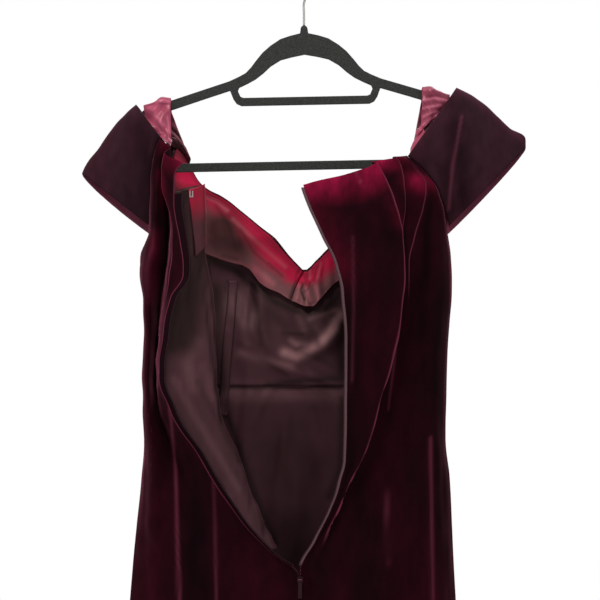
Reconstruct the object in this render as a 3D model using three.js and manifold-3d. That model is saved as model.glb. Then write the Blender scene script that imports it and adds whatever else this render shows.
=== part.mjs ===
// A velvet maxi dress, seen from the back, on a flocked hanger. Its centre-back zip is open.
// Millimetres, +Z up. The origin is the hang point, under the crown of the hanger's hook.
// +X is the wearer's right seen from behind, -Y is the back of the dress, +Y its front.
import * as THREE from 'three';
import { mergeVertices } from 'three/addons/utils/BufferGeometryUtils.js';
import Module from 'manifold-3d';

const wasm = await Module();
wasm.setup();

// ---------------------------------------------------------------- sizes

const VELVET = 2;                 // wall of the velvet with its backing
const SATIN = 1.2;                // wall of lining, facing, strap and tape
const SEAM_GAP = 0.3;             // between two pieces at a seam
const LAY_GAP = 0.5;              // between a piece and what it lies on
const SEAM_CLEAR = 1.1;           // between the middles of two walls at a slanted seam
const UNDERARM = -340;            // height of the underarm point
const HEM = -1540;
const WAIST_SEAM = -529;          // seam between bodice lining and skirt lining
const ZIP_END = -764;             // bottom of the zip
const CENTRE_BACK = -5;           // x of the closed centre-back seam
const NECK_POINT = 0.525;         // the sweetheart point, as a share of the front's width
const UPPER_STEPS = 6;            // rows from underarm to top edge, on panels and sleeves
const TAPE_LEFT = { top: -291, foot: -745, wide: 9, narrow: 5 };   // zip tape past the velvet's edge
const TAPE_RIGHT = { top: -283, foot: -745, wide: 3 };

const HANGER_THICK = 5;
const HANGER_TILT = THREE.MathUtils.degToRad(1.1);
const HANGER_TOP = -78;           // top of the hanger's neck, where the hook screws in
const WIRE_RADIUS = 1.5;
const HOOK_RADIUS = 20;
const ARM_TIP = 205;              // half the hanger's width

// ---------------------------------------------------------------- tables

function table(columns, rows) {
  const names = columns.split(' ');
  return rows.map((row) => Object.fromEntries(names.map((name, i) => [name, row[i]])));
}

// side seams and depths of the body, front and back of the side seams
const BODY = table('z left right front back', [
  [-340, -191, 179, 36, 28],
  [-372, -204, 183, 43, 30],
  [-402, -201, 184, 45, 32],
  [-448, -196, 181, 42, 32],
  [-500, -199, 178, 38, 33],
  [-545, -200, 177, 38, 34],
  [-590, -199, 176, 42, 38],
  [-640, -202, 181, 45, 42],
  [-700, -208, 184, 47, 45],
  [-764, -214, 187, 50, 48],
  [-1000, -232, 203, 62, 60],
  [-1300, -257, 221, 78, 75],
  [-1540, -278, 236, 90, 88],
]);

// armhole seams above the underarm: x on the back panels and on the front, y of both
const ARMHOLE = table('rise backLeft frontLeft backRight frontRight open', [
  [0, -191, -191, 179, 179, 0.15],
  [0.2, -190, -189.5, 176, 178, 5],
  [0.5, -189, -187, 168, 174, 11],
  [0.75, -187, -182, 153, 165, 15],
  [1, -176, -173, 127, 150, 17],
]);
const ARMHOLE_TOP = { backLeft: -219, frontLeft: -223, backRight: -242, frontRight: -222 };

// front neckline: share of the front's width, height
const NECKLINE = table('share z', [
  [0, -223], [0.05, -229], [0.107, -250], [0.168, -277], [0.23, -289], [0.3, -308],
  [0.368, -328], [0.44, -349], [0.513, -378], [NECK_POINT, -382], [0.562, -372],
  [0.6, -357], [0.67, -330], [0.736, -308], [0.8, -289], [0.86, -270], [0.925, -247], [1, -222],
]);

// lower edge of the neckline facing
const FACING_EDGE = table('share z', [
  [0.1, -345], [0.245, -366], [0.3, -372], [0.345, -378], [0.385, -400], [0.44, -412],
  [0.495, -425], [0.54, -430], [0.57, -421], [0.62, -400], [0.7, -384], [0.9, -350],
]);

// left back: a fold near the side, the valley behind it, a lap over the valley, the free zip edge
const LEFT_BACK = table('z foldX foldY valleyX valleyY lapX lapY edgeX edgeY', [
  [-219, -172, -31, -165, -25, -166, -39, -146, -44],
  [-250, -177, -33, -166, -24, -173, -42, -147, -46],
  [-262, -179, -34, -166.5, -23, -175, -43, -156, -49],
  [-275, -180, -35, -167, -22, -175, -44, -158, -51],
  [-300, -182, -37, -168, -20, -168.5, -45, -158, -55],
  [-318, -183, -38, -168, -19, -162.5, -47, -156, -57],
  [-352, -185, -40, -169, -17, -160.5, -49, -149.5, -60],
  [-389, -193, -42, -173, -16, -163.5, -52, -146, -62],
  [-417, -191, -42, -178, -18, -168, -50, -161, -64],
  [-470, -190, -42, -182, -18, -178, -42, -171, -66],
  [-505, -192, -42, -185, -18, -181, -42, -175, -66],
  [-548, -191, -42, -181, -20, -174, -42, -164, -64],
  [-605, -187, -40, -165, -24, -149, -43, -130, -60],
  [-670, -185, -40, -145, -32, -118, -45, -90, -56],
  [-727, -180, -38, -125, -40, -84, -46, -42, -51],
  [-764, -176, -36, -112, -45, -58, -47, CENTRE_BACK, -48],
  [-800, -178, -37, -112, -47, -58, -49, CENTRE_BACK, -50],
  [-1000, -191, -44, -116, -55, -60, -58, CENTRE_BACK, -60],
  [-1300, -209, -56, -125, -69, -65, -73, CENTRE_BACK, -75],
  [-1540, -223, -66, -132, -81, -68, -86, CENTRE_BACK, -88],
]);

// right back: the free zip edge, pleat a and the turn under it, pleat b and the turn under it,
// the ridge c, the outer part
const RIGHT_BACK = table('z edgeX edgeY aX aY auX auY bX bY buX buY cX cY outerX outerY', [
  [-242, -14, -44, 82, -46, 78, -39, 112, -37, 109, -30, 119, -26, 123, -21],
  [-262, -7, -47, 94, -51, 89, -43, 120, -40, 115, -33, 139, -29, 144, -22],
  [-280, -1, -50, 102.5, -54, 97, -46, 122.5, -42, 117.5, -35, 150, -33, 155.5, -25],
  [-304, 7.5, -54, 110.5, -57, 105, -49, 124, -44, 119.5, -37, 147, -34, 158, -27],
  [-322, 15.5, -56, 116, -58, 110.5, -50, 122, -44, 120.5, -37.5, 142, -33, 158, -28],
  [-345, 26, -58, 120.5, -59, 115, -51, 119.5, -43.5, 122.5, -37, 135, -32, 160, -31],
  [-383, 42.5, -60, 122, -60, 116.5, -52, 119, -44, 123, -37, 129, -31, 162, -33],
  [-420, 49, -61, 119, -61, 113.5, -52, 116.5, -43, 121, -35, 129, -28, 162, -34],
  [-483, 52.5, -61, 109, -60, 103.5, -52, 107, -43, 112, -35, 120, -29, 158, -33],
  [-545, 52, -61, 92, -60, 87, -52, 91, -44, 96, -37, 105, -31, 154, -32],
  [-608, 51, -60, 74, -58, 69.5, -51, 75, -44, 81, -38, 90, -33, 152, -33],
  [-639, 45, -59, 58, -57, 54, -50, 61, -44, 69, -39, 81, -35, 153, -34],
  [-677, 32.5, -57, 42, -55, 40, -49, 51, -44, 63, -40, 77, -37.5, 154, -35],
  [-714, 14, -53, 25, -53, 28, -48, 43, -45, 59, -42.5, 75, -41, 155, -36],
  [-764, CENTRE_BACK, -48, 12, -49.5, 21, -48, 40, -47, 60, -46.5, 82, -46, 156, -37],
  [-800, CENTRE_BACK, -50, 12, -51, 22, -50, 42, -49, 62, -48, 85, -47, 157, -38],
  [-1000, CENTRE_BACK, -60, 14, -60, 25, -59.5, 47, -59, 71, -58, 97, -56, 168, -45],
  [-1300, CENTRE_BACK, -75, 16, -75, 28, -74.5, 51, -73.5, 77, -71.5, 107, -69, 182, -56],
  [-1540, CENTRE_BACK, -88, 18, -88, 31, -87.5, 55, -86.5, 83, -84, 115, -81, 194, -66],
]);
const RIGHT_BACK_TOP = table('across z', [
  [0, -280], [0.04, -274.5], [0.111, -267], [0.17, -259], [0.222, -253], [0.333, -251],
  [0.444, -246], [0.667, -243.5], [1, -242],
]);
const LEFT_BACK_TOP = table('across z', [[0, -219], [0.4, -226], [0.6, -232], [0.8, -241], [1, -253]]);

// left back lining: from the zip edge out to its fold, then back inside the dress
const LEFT_LINING = table('z foldX foldY innerX innerY endX endY', [
  [-250, -126, -42, -134, -20, -166, -10],
  [-300, -124, -40, -134, -16, -174, -8],
  [-358, -122, -38, -136, -14, -180, -6],
  [-420, -112, -36, -128, -12, -186, -5],
  [-495, -109, -34, -126, -12, -184, -5],
  [-545, -105, -34, -122, -12, -180, -6],
  [-608, -82, -34, -98, -13, -148, -10],
  [-670, -60, -34, -74, -15, -108, -13],
  [-727, -33, -35, -46, -20, -70, -17],
]);

const LEFT_LINING_TOP = table('across z', [[0, -288], [0.33, -280], [1, -292]]);

// the neck facing on that lining: its lower and upper edge
const NECK_FACING = table('across low high', [[0.15, -368, -285.5], [0.35, -349, -278]]);

// soft folds of the skirt: place at the zip's end and at the hem, width and depth at the hem
const BACK_FOLDS = table('topX hemX width depth', [
  [-200, -254, 17, 9], [-152, -186, 18, 15], [-106, -122, 20, 14], [-48, -58, 22, 12],
  [40, 56, 22, 12], [103, 122, 20, 15], [159, 196, 17, 11],
]);
const FRONT_FOLDS = table('topX hemX width depth', [
  [-160, -198, 20, 13], [-88, -112, 24, 14], [-6, -10, 26, 12], [76, 100, 24, 15], [146, 180, 20, 11],
]);
const FOLD_START = -560;          // height where the skirt's folds begin to grow

const FACING_LIFT = 3.5;          // how far the facing's free lower edge stands off the lining

const BUST = { x: 88, z: -392, wide: 44, high: 46, depth: 13 };

// long creases of the front lining, which stand in from its surface
const LINING_CREASES = table('x z lean long wide depth', [
  [-58, -440, 0.25, 60, 16, 5], [-20, -505, -1.1, 70, 14, 6], [20, -470, -0.7, 55, 13, 5],
  [-75, -600, 0.1, 80, 18, 6], [-12, -650, 0.05, 90, 20, 7],
]);

// cap sleeves: outer fold from the lower corner to the top corner
const SLEEVE_LEFT = table('rise x z', [
  [0, -276.5, -263], [0.1, -272, -253], [0.3, -256, -232], [0.5, -241, -210],
  [0.75, -224, -191], [1, -209, -177],
]);
const SLEEVE_RIGHT = table('rise x z', [
  [0, 276, -231], [0.08, 276, -222], [0.3, 257, -207], [0.5, 241, -192], [0.75, 217, -171], [1, 190, -156],
]);
const SLEEVE_BULGE = 13;          // how far each half of a sleeve stands from its flat
const FRONT_HALF_DROP = 7;        // the front half's lower edge hangs this much lower

// hanger outline, right half, from the neck out
const HANGER_OUTER = table('x z', [
  [2.6, HANGER_TOP], [4.2, -80.5], [5.2, -87.2], [17.5, -90], [30, -94], [42.5, -102],
  [52.5, -110.5], [61, -120.5], [67.5, -129], [74, -135.5], [82.5, -140], [95, -145.5],
  [201, -178.5], [ARM_TIP, -182], [ARM_TIP, -187], [196, -225],
  [191, -252], [185, -258],
]);
const HANGER_LOOP = table('x z', [
  [0, -114], [16, -117], [30, -120.5], [42.5, -128], [52.5, -137], [62, -144], [72.5, -149.5],
  [82.5, -154], [84, -158], [81, -165], [77.5, -166.5],
]);
const HANGER_GAP = table('x z', [
  [80, -176.8], [86, -174], [90, -168], [94, -157.5], [120, -165.5], [190, -187.5],
  [193, -191], [186, -225], [181, -245], [178, -247],
]);
const ARM_SLOPE = (178.5 - 145.5) / (201 - 95);

// a strap's edges where it crosses the arm, how far they bow out half-way down at the back, and the
// share of that bow just above its sewn end
const STRAP_LEFT = { inner: -166, outer: -199, innerBow: 0, outerBow: -10, lowShare: 0.1 };
const STRAP_RIGHT = { inner: 147, outer: 181, innerBow: 7, outerBow: 0, lowShare: 0.6 };
// the right strap is sewn inside the sleeve's top edge, from its corner upwards
const STRAP_RIGHT_SEAM = table('across x y z', [[0, 150, -18, -214], [1, 131, -15, -240]]);
const STRAP_TUCK = { inward: 0.42, up: 8 };   // just above its sewn end a strap turns inwards

// ---------------------------------------------------------------- curves

const mix = (a, b, t) => a + (b - a) * t;
const level = (z) => () => z;
const clamp = THREE.MathUtils.clamp;
const steps = (from, to, count) => Array.from({ length: count + 1 }, (_, i) => mix(from, to, i / count));

// a smooth value from one column of a table, held at both ends
function curve(rows, key, column) {
  const sorted = [...rows].sort((a, b) => a[key] - b[key]);
  const at = sorted.map((row) => row[key]);
  const value = sorted.map((row) => row[column]);
  const last = at.length - 1;
  const rise = at.slice(1).map((t, i) => (value[i + 1] - value[i]) / (t - at[i]));
  const slope = at.map((_, i) => {
    if (i === 0) return rise[0];
    if (i === last) return rise[last - 1];
    if (rise[i - 1] * rise[i] <= 0) return 0;
    return (2 * rise[i - 1] * rise[i]) / (rise[i - 1] + rise[i]);
  });
  return (t) => {
    const x = clamp(t, at[0], at[last]);
    let i = 0;
    while (i < last - 1 && x > at[i + 1]) i += 1;
    const h = at[i + 1] - at[i];
    const s = (x - at[i]) / h;
    const a = value[i] + slope[i] * h * s;
    const b = value[i + 1] - slope[i + 1] * h * (1 - s);
    const ease = s * s * (3 - 2 * s);
    return mix(a, b, ease);
  };
}

// a smooth line through a few points, by its share of the way along
function through(points) {
  const line = new THREE.CatmullRomCurve3(points, false, 'centripetal');
  return (t) => line.getPoint(t);
}

const bell = (t) => Math.exp(-t * t);

function skirtFold(folds, x, z) {
  const grown = clamp((FOLD_START - z) / (FOLD_START - HEM), 0, 1);
  const down = clamp((ZIP_END - z) / (ZIP_END - HEM), 0, 1);
  let depth = 0;
  for (const fold of folds) {
    depth += fold.depth * bell((x - mix(fold.topX, fold.hemX, down)) / fold.width);
  }
  return depth * grown ** 0.8;
}

// ---------------------------------------------------------------- surfaces of the dress

const body = {
  left: curve(BODY, 'z', 'left'),
  right: curve(BODY, 'z', 'right'),
  front: curve(BODY, 'z', 'front'),
};
const neckline = curve(NECKLINE, 'share', 'z');

// the armhole seam of one panel, from the underarm (0) to its top (1)
function armhole(panel, rise) {
  const back = panel.startsWith('back');
  const open = curve(ARMHOLE, 'rise', 'open')(rise);
  const x = curve(ARMHOLE, 'rise', panel)(rise);
  return new THREE.Vector3(x, back ? -open : open, mix(UNDERARM, ARMHOLE_TOP[panel], rise));
}

function sideEdge(panel, z) {
  const side = panel.endsWith('Left') ? 'left' : 'right';
  if (z > UNDERARM) return armhole(panel, (z - UNDERARM) / (ARMHOLE_TOP[panel] - UNDERARM));
  const off = panel.startsWith('back') ? -SEAM_GAP / 2 : SEAM_GAP / 2;
  return new THREE.Vector3(body[side](z), off, z);
}

const share = (u) => (1 - Math.cos(Math.PI * u)) / 2;
const unshare = (s) => Math.acos(1 - 2 * s) / Math.PI;

function frontPoint(u, z) {
  const left = sideEdge('frontLeft', z);
  const right = sideEdge('frontRight', z);
  const x = mix(left.x, right.x, share(u));
  const arc = Math.sin(Math.PI * clamp(u, 0, 1)) ** 0.8;
  let y = mix(mix(left.y, right.y, share(u)), body.front(z), arc);
  const cup = Math.hypot((Math.abs(x + 6) - BUST.x) / BUST.wide, (z - BUST.z) / BUST.high);
  y += BUST.depth * bell(cup) * arc;
  y += skirtFold(FRONT_FOLDS, x, z) * arc;
  return new THREE.Vector3(x, y, z);
}

function tableLine(rows, names, z) {
  return names.map((name) => {
    const x = curve(rows, 'z', `${name}X`)(z);
    const y = curve(rows, 'z', `${name}Y`)(z);
    return new THREE.Vector3(x, y, z);
  });
}

function leftBackPoint(across, z) {
  const line = tableLine(LEFT_BACK, ['fold', 'valley', 'lap', 'edge'], z);
  const side = sideEdge('backLeft', z);
  const turn = side.clone().lerp(line[0], 0.5).add(new THREE.Vector3(-3.5, 0, 0));
  const point = through([side, turn, ...line])(across);
  const ends = Math.sin(Math.PI * across) ** 0.5;
  point.y -= skirtFold(BACK_FOLDS, point.x, z) * ends;
  if (across === 1 && z <= ZIP_END) point.x = CENTRE_BACK - SEAM_GAP / 2;
  return point;
}

function rightBackPoint(across, z) {
  const [edge, ...pleats] = tableLine(RIGHT_BACK, ['edge', 'a', 'au', 'b', 'bu', 'c', 'outer'], z);
  const side = sideEdge('backRight', z);
  const middle = edge.clone().lerp(pleats[0], 0.55).add(new THREE.Vector3(0, 3, 0));
  const round = 3 * clamp((ARMHOLE_TOP.backRight - z) / 100, 0, 1);
  const turn = pleats.at(-1).clone().lerp(side, 0.6).add(new THREE.Vector3(round, -round, 0));
  const point = through([edge, middle, ...pleats, turn, side])(across);
  const ends = Math.sin(Math.PI * across) ** 0.5;
  point.y -= skirtFold(BACK_FOLDS, point.x, z) * ends;
  if (across === 0 && z <= ZIP_END) point.x = CENTRE_BACK + SEAM_GAP / 2;
  return point;
}

// the front lining lies inside the front: how far in, with its creases
function liningInset(x, z) {
  const free = clamp((neckline(NECK_POINT) - 20 - z) / 60, 0, 1);
  let inset = VELVET / 2 + LAY_GAP + SEAM_GAP + SATIN / 2 + 5 * free;
  for (const crease of LINING_CREASES) {
    const dx = x - crease.x;
    const dz = z - crease.z;
    const cross = (dx - crease.lean * dz) / Math.hypot(1, crease.lean);
    const along = (dz + crease.lean * dx) / Math.hypot(1, crease.lean);
    inset += crease.depth * bell(cross / crease.wide) * bell(along / crease.long);
  }
  return inset;
}

function leftLiningPoint(across, z) {
  const [fold, inner, end] = tableLine(LEFT_LINING, ['fold', 'inner', 'end'], z);
  const edge = leftBackPoint(0.96, z);
  const before = leftBackPoint(0.88, z);
  const away = new THREE.Vector3(edge.y - before.y, before.x - edge.x, 0).normalize().negate();
  const start = edge.addScaledVector(away, VELVET / 2 + 2 * LAY_GAP + SATIN / 2);
  return through([start, fold, inner, end])(across);
}

// ---------------------------------------------------------------- walls

// normals of a grid of points, by its two directions
function gridNormals(grid, closed) {
  const rows = grid.length;
  const cols = grid[0].length;
  const at = (i, j) => grid[clamp(i, 0, rows - 1)][closed ? (j + cols) % cols : clamp(j, 0, cols - 1)];
  return grid.map((row, i) => row.map((_, j) => {
    const up = at(i + 1, j).clone().sub(at(i - 1, j));
    const across = at(i, j + 1).clone().sub(at(i, j - 1));
    return across.cross(up).normalize();
  }));
}

// moves a grid's points along its normals, by a number or by a function of the point
function moved(grid, distance, normals = gridNormals(grid)) {
  const far = typeof distance === 'function' ? distance : () => distance;
  return grid.map((row, i) => row.map((p, j) => p.clone().addScaledVector(normals[i][j], far(p))));
}

// a closed wall of one thickness with a grid of points as its middle
function wall(grid, thickness, first = null, last = null) {
  const rows = grid.length;
  const cols = grid[0].length;
  const normals = gridNormals(grid);
  normals.forEach((row, i) => {
    if (first) row[0] = first(grid[i][0], row[0]);
    if (last) row[cols - 1] = last(grid[i][cols - 1], row[cols - 1]);
  });
  const outer = moved(grid, thickness / 2, normals).flat();
  const inner = moved(grid, -thickness / 2, normals).flat();
  const faces = [];
  const quad = (a, b, c, d) => faces.push(a, b, c, a, c, d);
  const under = rows * cols;
  for (let i = 0; i < rows - 1; i += 1) {
    for (let j = 0; j < cols - 1; j += 1) {
      const a = i * cols + j;
      quad(a, a + 1, a + 1 + cols, a + cols);
      quad(under + a, under + a + cols, under + a + 1 + cols, under + a + 1);
    }
  }
  const rim = [];
  for (let j = 0; j < cols; j += 1) rim.push(j);
  for (let i = 1; i < rows; i += 1) rim.push(i * cols + cols - 1);
  for (let j = cols - 2; j >= 0; j -= 1) rim.push((rows - 1) * cols + j);
  for (let i = rows - 2; i > 0; i -= 1) rim.push(i * cols);
  rim.forEach((a, k) => {
    const b = rim[(k + 1) % rim.length];
    quad(a, under + a, under + b, b);
  });
  return solidFrom([...outer, ...inner], faces);
}

function solidFrom(points, faces) {
  const geometry = new THREE.BufferGeometry().setFromPoints(points);
  geometry.setIndex(faces);
  return geometry;
}

// a rim that keeps one coordinate clear of the seam's plane
const acrossX = (_, normal) => new THREE.Vector3(Math.sign(normal.x) || 1, 0, normal.z).normalize();
const acrossY = (_, normal) => new THREE.Vector3(0, Math.sign(normal.y) || 1, normal.z).normalize();
const flatX = (point, normal) => (point.z > UNDERARM ? acrossY(point, normal) : acrossX(point, normal));
const flatY = (point, normal) => (point.z <= ZIP_END ? acrossY(point, normal) : normal);

// ---------------------------------------------------------------- rows

const SKIRT_LEVELS = [
  HEM, -1460, -1380, -1300, -1210, -1120, -1030, -940, -860, -800, ZIP_END, -727, -696, -665, -635,
];

function upperRows(base, top) {
  return steps(0, 1, UPPER_STEPS).slice(1).map((rise) => (t) => mix(base(t), top(t), rise));
}

function gridOf(point, across, rows) {
  return rows.map((row) => across.map((t) => point(t, row(t))));
}

// ---------------------------------------------------------------- velvet panels

const FRONT_ACROSS = [
  ...steps(0, unshare(NECK_POINT), 14),
  ...steps(unshare(NECK_POINT), 1, 14).slice(1),
];
const frontTop = (u) => neckline(share(u));
const frontBase = (u) => UNDERARM - 66 * Math.sin(Math.PI * u);

const FRONT_UPPER_ROWS = [
  ...[-545, -515, -485, -460].map(level),
  (u) => mix(-460, frontBase(u), 0.34),
  (u) => mix(-460, frontBase(u), 0.67),
  frontBase,
  ...upperRows(frontBase, frontTop),
];

const FRONT_LEVELS = [...SKIRT_LEVELS, -605, -575];
const FRONT = { points: gridOf(frontPoint, FRONT_ACROSS, [...FRONT_LEVELS.map(level), ...FRONT_UPPER_ROWS]) };
FRONT.normals = gridNormals(FRONT.points);

const BACK_LEVELS = [...SKIRT_LEVELS, -608, -578, -548, -520, -492, -464, -436, -412, -388, -364];

function leftBackGrid() {
  const top = curve(LEFT_BACK_TOP, 'across', 'z');
  const rows = [...BACK_LEVELS.map(level), level(UNDERARM), ...upperRows(level(UNDERARM), top)];
  return gridOf(leftBackPoint, steps(0, 1, 20), rows);
}

function rightBackGrid() {
  const top = curve(RIGHT_BACK_TOP, 'across', 'z');
  const rows = [...BACK_LEVELS.map(level), level(UNDERARM), ...upperRows(level(UNDERARM), top)];
  return gridOf(rightBackPoint, steps(0, 1, 27), rows);
}

// ---------------------------------------------------------------- sleeves and straps

// one band: back seam, outer fold, front seam
function sleeveGrid(side, foldRows) {
  const foldX = curve(foldRows, 'rise', 'x');
  const foldZ = curve(foldRows, 'rise', 'z');
  const out = side === 'Left' ? -1 : 1;
  return steps(0, 1, UPPER_STEPS).map((rise) => {
    const back = armhole(`back${side}`, rise);
    const front = armhole(`front${side}`, rise);
    const low = clamp(1 - rise * UPPER_STEPS, 0, 1);
    for (const seam of [back, front]) {
      seam.x += out * (SEAM_CLEAR + low * VELVET / 2 + rise * 2 * SEAM_GAP);
      seam.y += Math.sign(seam.y) * low * (VELVET / 2 + SEAM_GAP / 2);
    }
    const fold = new THREE.Vector3(foldX(rise), 0, foldZ(rise));
    return steps(-1, 1, 16).map((s) => {
      const seam = s < 0 ? back : front;
      const turn = (1 - Math.abs(s)) * (Math.PI / 2);
      const x = mix(seam.x, fold.x, Math.sin(turn));
      const drop = s > 0 ? FRONT_HALF_DROP * (1 - rise) * Math.sin(2 * turn) ** 0.7 : 0;
      const z = mix(seam.z, fold.z, Math.sin(turn)) - drop;
      const bulge = SLEEVE_BULGE * Math.sin(2 * turn) ** 0.8;
      const y = seam.y * Math.cos(turn) + (s < 0 ? -bulge : bulge);
      return new THREE.Vector3(x, y, z);
    });
  });
}

// where the strap crosses over the hanger's arm: offsets from the arm's top
const STRAP_OVER = table('y lift', [
  [-6.2, -14], [-4.8, -5], [-4.1, -0.1], [-2.6, 1.15], [0, 1.2],
  [2.6, 1.15], [4.1, -0.1], [4.8, -5], [6.2, -14],
]);

// height of the tilted arm's top edge at x
function armTop(x) {
  const slope = Math.sign(x) * ARM_SLOPE;
  const rise = -145.5 + 95 * ARM_SLOPE - HANGER_TOP;
  const along = (x + rise * Math.sin(HANGER_TILT)) / (Math.cos(HANGER_TILT) + slope * Math.sin(HANGER_TILT));
  return HANGER_TOP + (rise - slope * along) * Math.cos(HANGER_TILT) + along * Math.sin(HANGER_TILT);
}

// from the back panel's top edge, over the arm, to the front's top edge
function strapGrid(strap, backEdge, frontEdge) {
  const across = steps(0, 1, 6);
  const ends = (edge) => across.map((t) => edge(t).add(new THREE.Vector3(0, 0, LAY_GAP)));
  const over = STRAP_OVER.map(({ y, lift }) => across.map((t) => {
    const x = mix(strap.outer, strap.inner, t);
    return new THREE.Vector3(x, y, armTop(x) + lift);
  }));
  const back = ends(backEdge);
  const front = ends(frontEdge);
  const tuck = (row) => row.map((p) => new THREE.Vector3(p.x, p.y * STRAP_TUCK.inward, p.z + STRAP_TUCK.up));
  const half = (a, b) => a.map((p, j) => p.clone().lerp(b[j], 0.5));
  const bowed = (row, size) => row.map((p, j) => {
    const bow = size * mix(strap.outerBow, strap.innerBow, across[j]);
    return new THREE.Vector3(p.x + bow, p.y, p.z);
  });
  return [
    back, bowed(tuck(back), strap.lowShare), bowed(half(tuck(back), over[0]), 1), ...over,
    half(over.at(-1), tuck(front)), tuck(front), front,
  ];
}

// ---------------------------------------------------------------- linings, facings and tapes

// a place on one column of a grid, at height z
function onColumn({ points, normals }, j, z) {
  let i = 0;
  while (i < points.length - 2 && points[i + 1][j].z < z) i += 1;
  const share = (z - points[i][j].z) / (points[i + 1][j].z - points[i][j].z);
  return {
    point: points[i][j].clone().lerp(points[i + 1][j], share),
    normal: normals[i][j].clone().lerp(normals[i + 1][j], share).normalize(),
  };
}

// a place on a grid at x and height z
function onGrid(grid, x, z) {
  let j = 0;
  while (j < grid.points[0].length - 2 && onColumn(grid, j + 1, z).point.x < x) j += 1;
  const [a, b] = [onColumn(grid, j, z), onColumn(grid, j + 1, z)];
  const share = (x - a.point.x) / (b.point.x - a.point.x);
  return {
    point: a.point.lerp(b.point, share),
    normal: a.normal.lerp(b.normal, share).normalize(),
  };
}

const onto = ({ point, normal }, distance) => point.clone().addScaledVector(normal, distance);

// the front's own points, moved in by the lining's inset
function liningGrid(rows) {
  const columns = FRONT_ACROSS.map((_, j) => j).filter((j) => share(FRONT_ACROSS[j]) >= 0.03
    && share(FRONT_ACROSS[j]) <= 0.97);
  return rows.map((row) => columns.map((j) => {
    const place = onColumn(FRONT, j, row(FRONT_ACROSS[j]));
    return onto(place, liningInset(place.point.x, place.point.z));
  }));
}

function liningBodiceGrid() {
  const foot = level(WAIST_SEAM + SEAM_GAP);
  return liningGrid([foot, ...FRONT_UPPER_ROWS.slice(1, -1), (u) => frontTop(u) - 4]);
}

function liningSkirtGrid() {
  const rows = [ZIP_END - 56, ...FRONT_LEVELS.filter((z) => z > ZIP_END - 40), -545, WAIST_SEAM];
  return liningGrid(rows.map(level));
}

// the facing lies on the lining; its lower edge stands off
function facingGrid(from, to) {
  const edge = curve(FACING_EDGE, 'share', 'z');
  const columns = FRONT_ACROSS.map((_, j) => j).filter((j) => share(FRONT_ACROSS[j]) >= from
    && share(FRONT_ACROSS[j]) <= to);
  return steps(0, 1, 5).map((high) => columns.map((j) => {
    const u = FRONT_ACROSS[j];
    const z = mix(edge(share(u)), frontTop(u) - 1.5, high);
    const place = onColumn(FRONT, j, z);
    const off = SATIN + LAY_GAP + mix(FACING_LIFT, 0.2, high);
    return onto(place, liningInset(place.point.x, z) + off);
  }));
}

const CHANNEL = table('z x', [[-404, -91], [-430, -94], [-470, -98], [-514, -101]]);
const CHANNEL_HALF = 6;

function channelGrid() {
  const middle = curve(CHANNEL, 'z', 'x');
  return steps(-514, -404, 6).map((z) => steps(-CHANNEL_HALF, CHANNEL_HALF, 2).map((dx) => {
    const place = onGrid(FRONT, middle(z) + dx, z);
    return onto(place, liningInset(place.point.x, z) + SATIN + LAY_GAP + 0.5);
  }));
}

// a tape that goes on from a panel's free edge
function tapeGrid(point, side, toward, width, { top, foot }) {
  return steps(foot, top, 24).map((z) => {
    const edge = point(side, z);
    const way = toward(z).normalize();
    return [0, 1].map((t) => edge.clone().addScaledVector(way, VELVET / 2 + LAY_GAP + t * width(z)));
  });
}

// ---------------------------------------------------------------- hard parts

function outline(rows, mirrored) {
  const points = rows.map(({ x, z }) => new THREE.Vector2(x, z));
  const other = mirrored.map(({ x, z }) => new THREE.Vector2(-x, z)).reverse();
  return [...points, ...other];
}

// an outline in x and z, made thick along y, with the middle of its thickness at y
function slab(shape, thickness, y) {
  const geometry = new THREE.ExtrudeGeometry(shape, { depth: thickness, bevelEnabled: false });
  geometry.rotateX(Math.PI / 2);
  geometry.translate(0, y + thickness / 2, 0);
  return geometry;
}

function hangerBody() {
  const shape = new THREE.Shape(outline(HANGER_OUTER, HANGER_OUTER).reverse());
  shape.holes.push(new THREE.Path(outline(HANGER_LOOP, HANGER_LOOP.slice(1))));
  shape.holes.push(new THREE.Path(outline(HANGER_GAP, HANGER_GAP)));
  const geometry = slab(shape, HANGER_THICK, 0);
  geometry.translate(0, 0, -HANGER_TOP);
  geometry.rotateY(-HANGER_TILT);
  geometry.translate(0, 0, HANGER_TOP);
  return geometry;
}

function hangerHook() {
  const centre = WIRE_RADIUS - HOOK_RADIUS;
  const path = new THREE.CatmullRomCurve3([
    new THREE.Vector3(0, 0, HANGER_TOP + SEAM_GAP),
    new THREE.Vector3(0, 0, -62),
    new THREE.Vector3(0, 0, -50),
    new THREE.Vector3(4, 0, -40),
    new THREE.Vector3(13, 0, -33),
    ...steps(-20, 200, 11).map((angle) => {
      const a = THREE.MathUtils.degToRad(angle);
      return new THREE.Vector3(HOOK_RADIUS * Math.cos(a), 0, centre + HOOK_RADIUS * Math.sin(a));
    }),
  ], false, 'centripetal');
  const wire = new THREE.Shape(steps(0, 315, 7).map((angle) => {
    const a = THREE.MathUtils.degToRad(angle);
    return new THREE.Vector2(WIRE_RADIUS * Math.cos(a), WIRE_RADIUS * Math.sin(a));
  }));
  return new THREE.ExtrudeGeometry(wire, { steps: 30, extrudePath: path });
}

const SLIDER = { x: CENTRE_BACK, z: ZIP_END, back: -49.8, deep: 3.6, wide: 8, high: 12 };
const PIN = { y: SLIDER.back - SLIDER.deep - 3.2, z: ZIP_END + 2, radius: 0.8, span: 7.4 };
const NECK_HOOK = { wide: 4.5, high: 8, wire: 1.3, thick: 1 };
const TAB = { wide: 4.6, thick: 1.4, long: 22, eye: 2.3, clearance: 0.4 };

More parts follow.
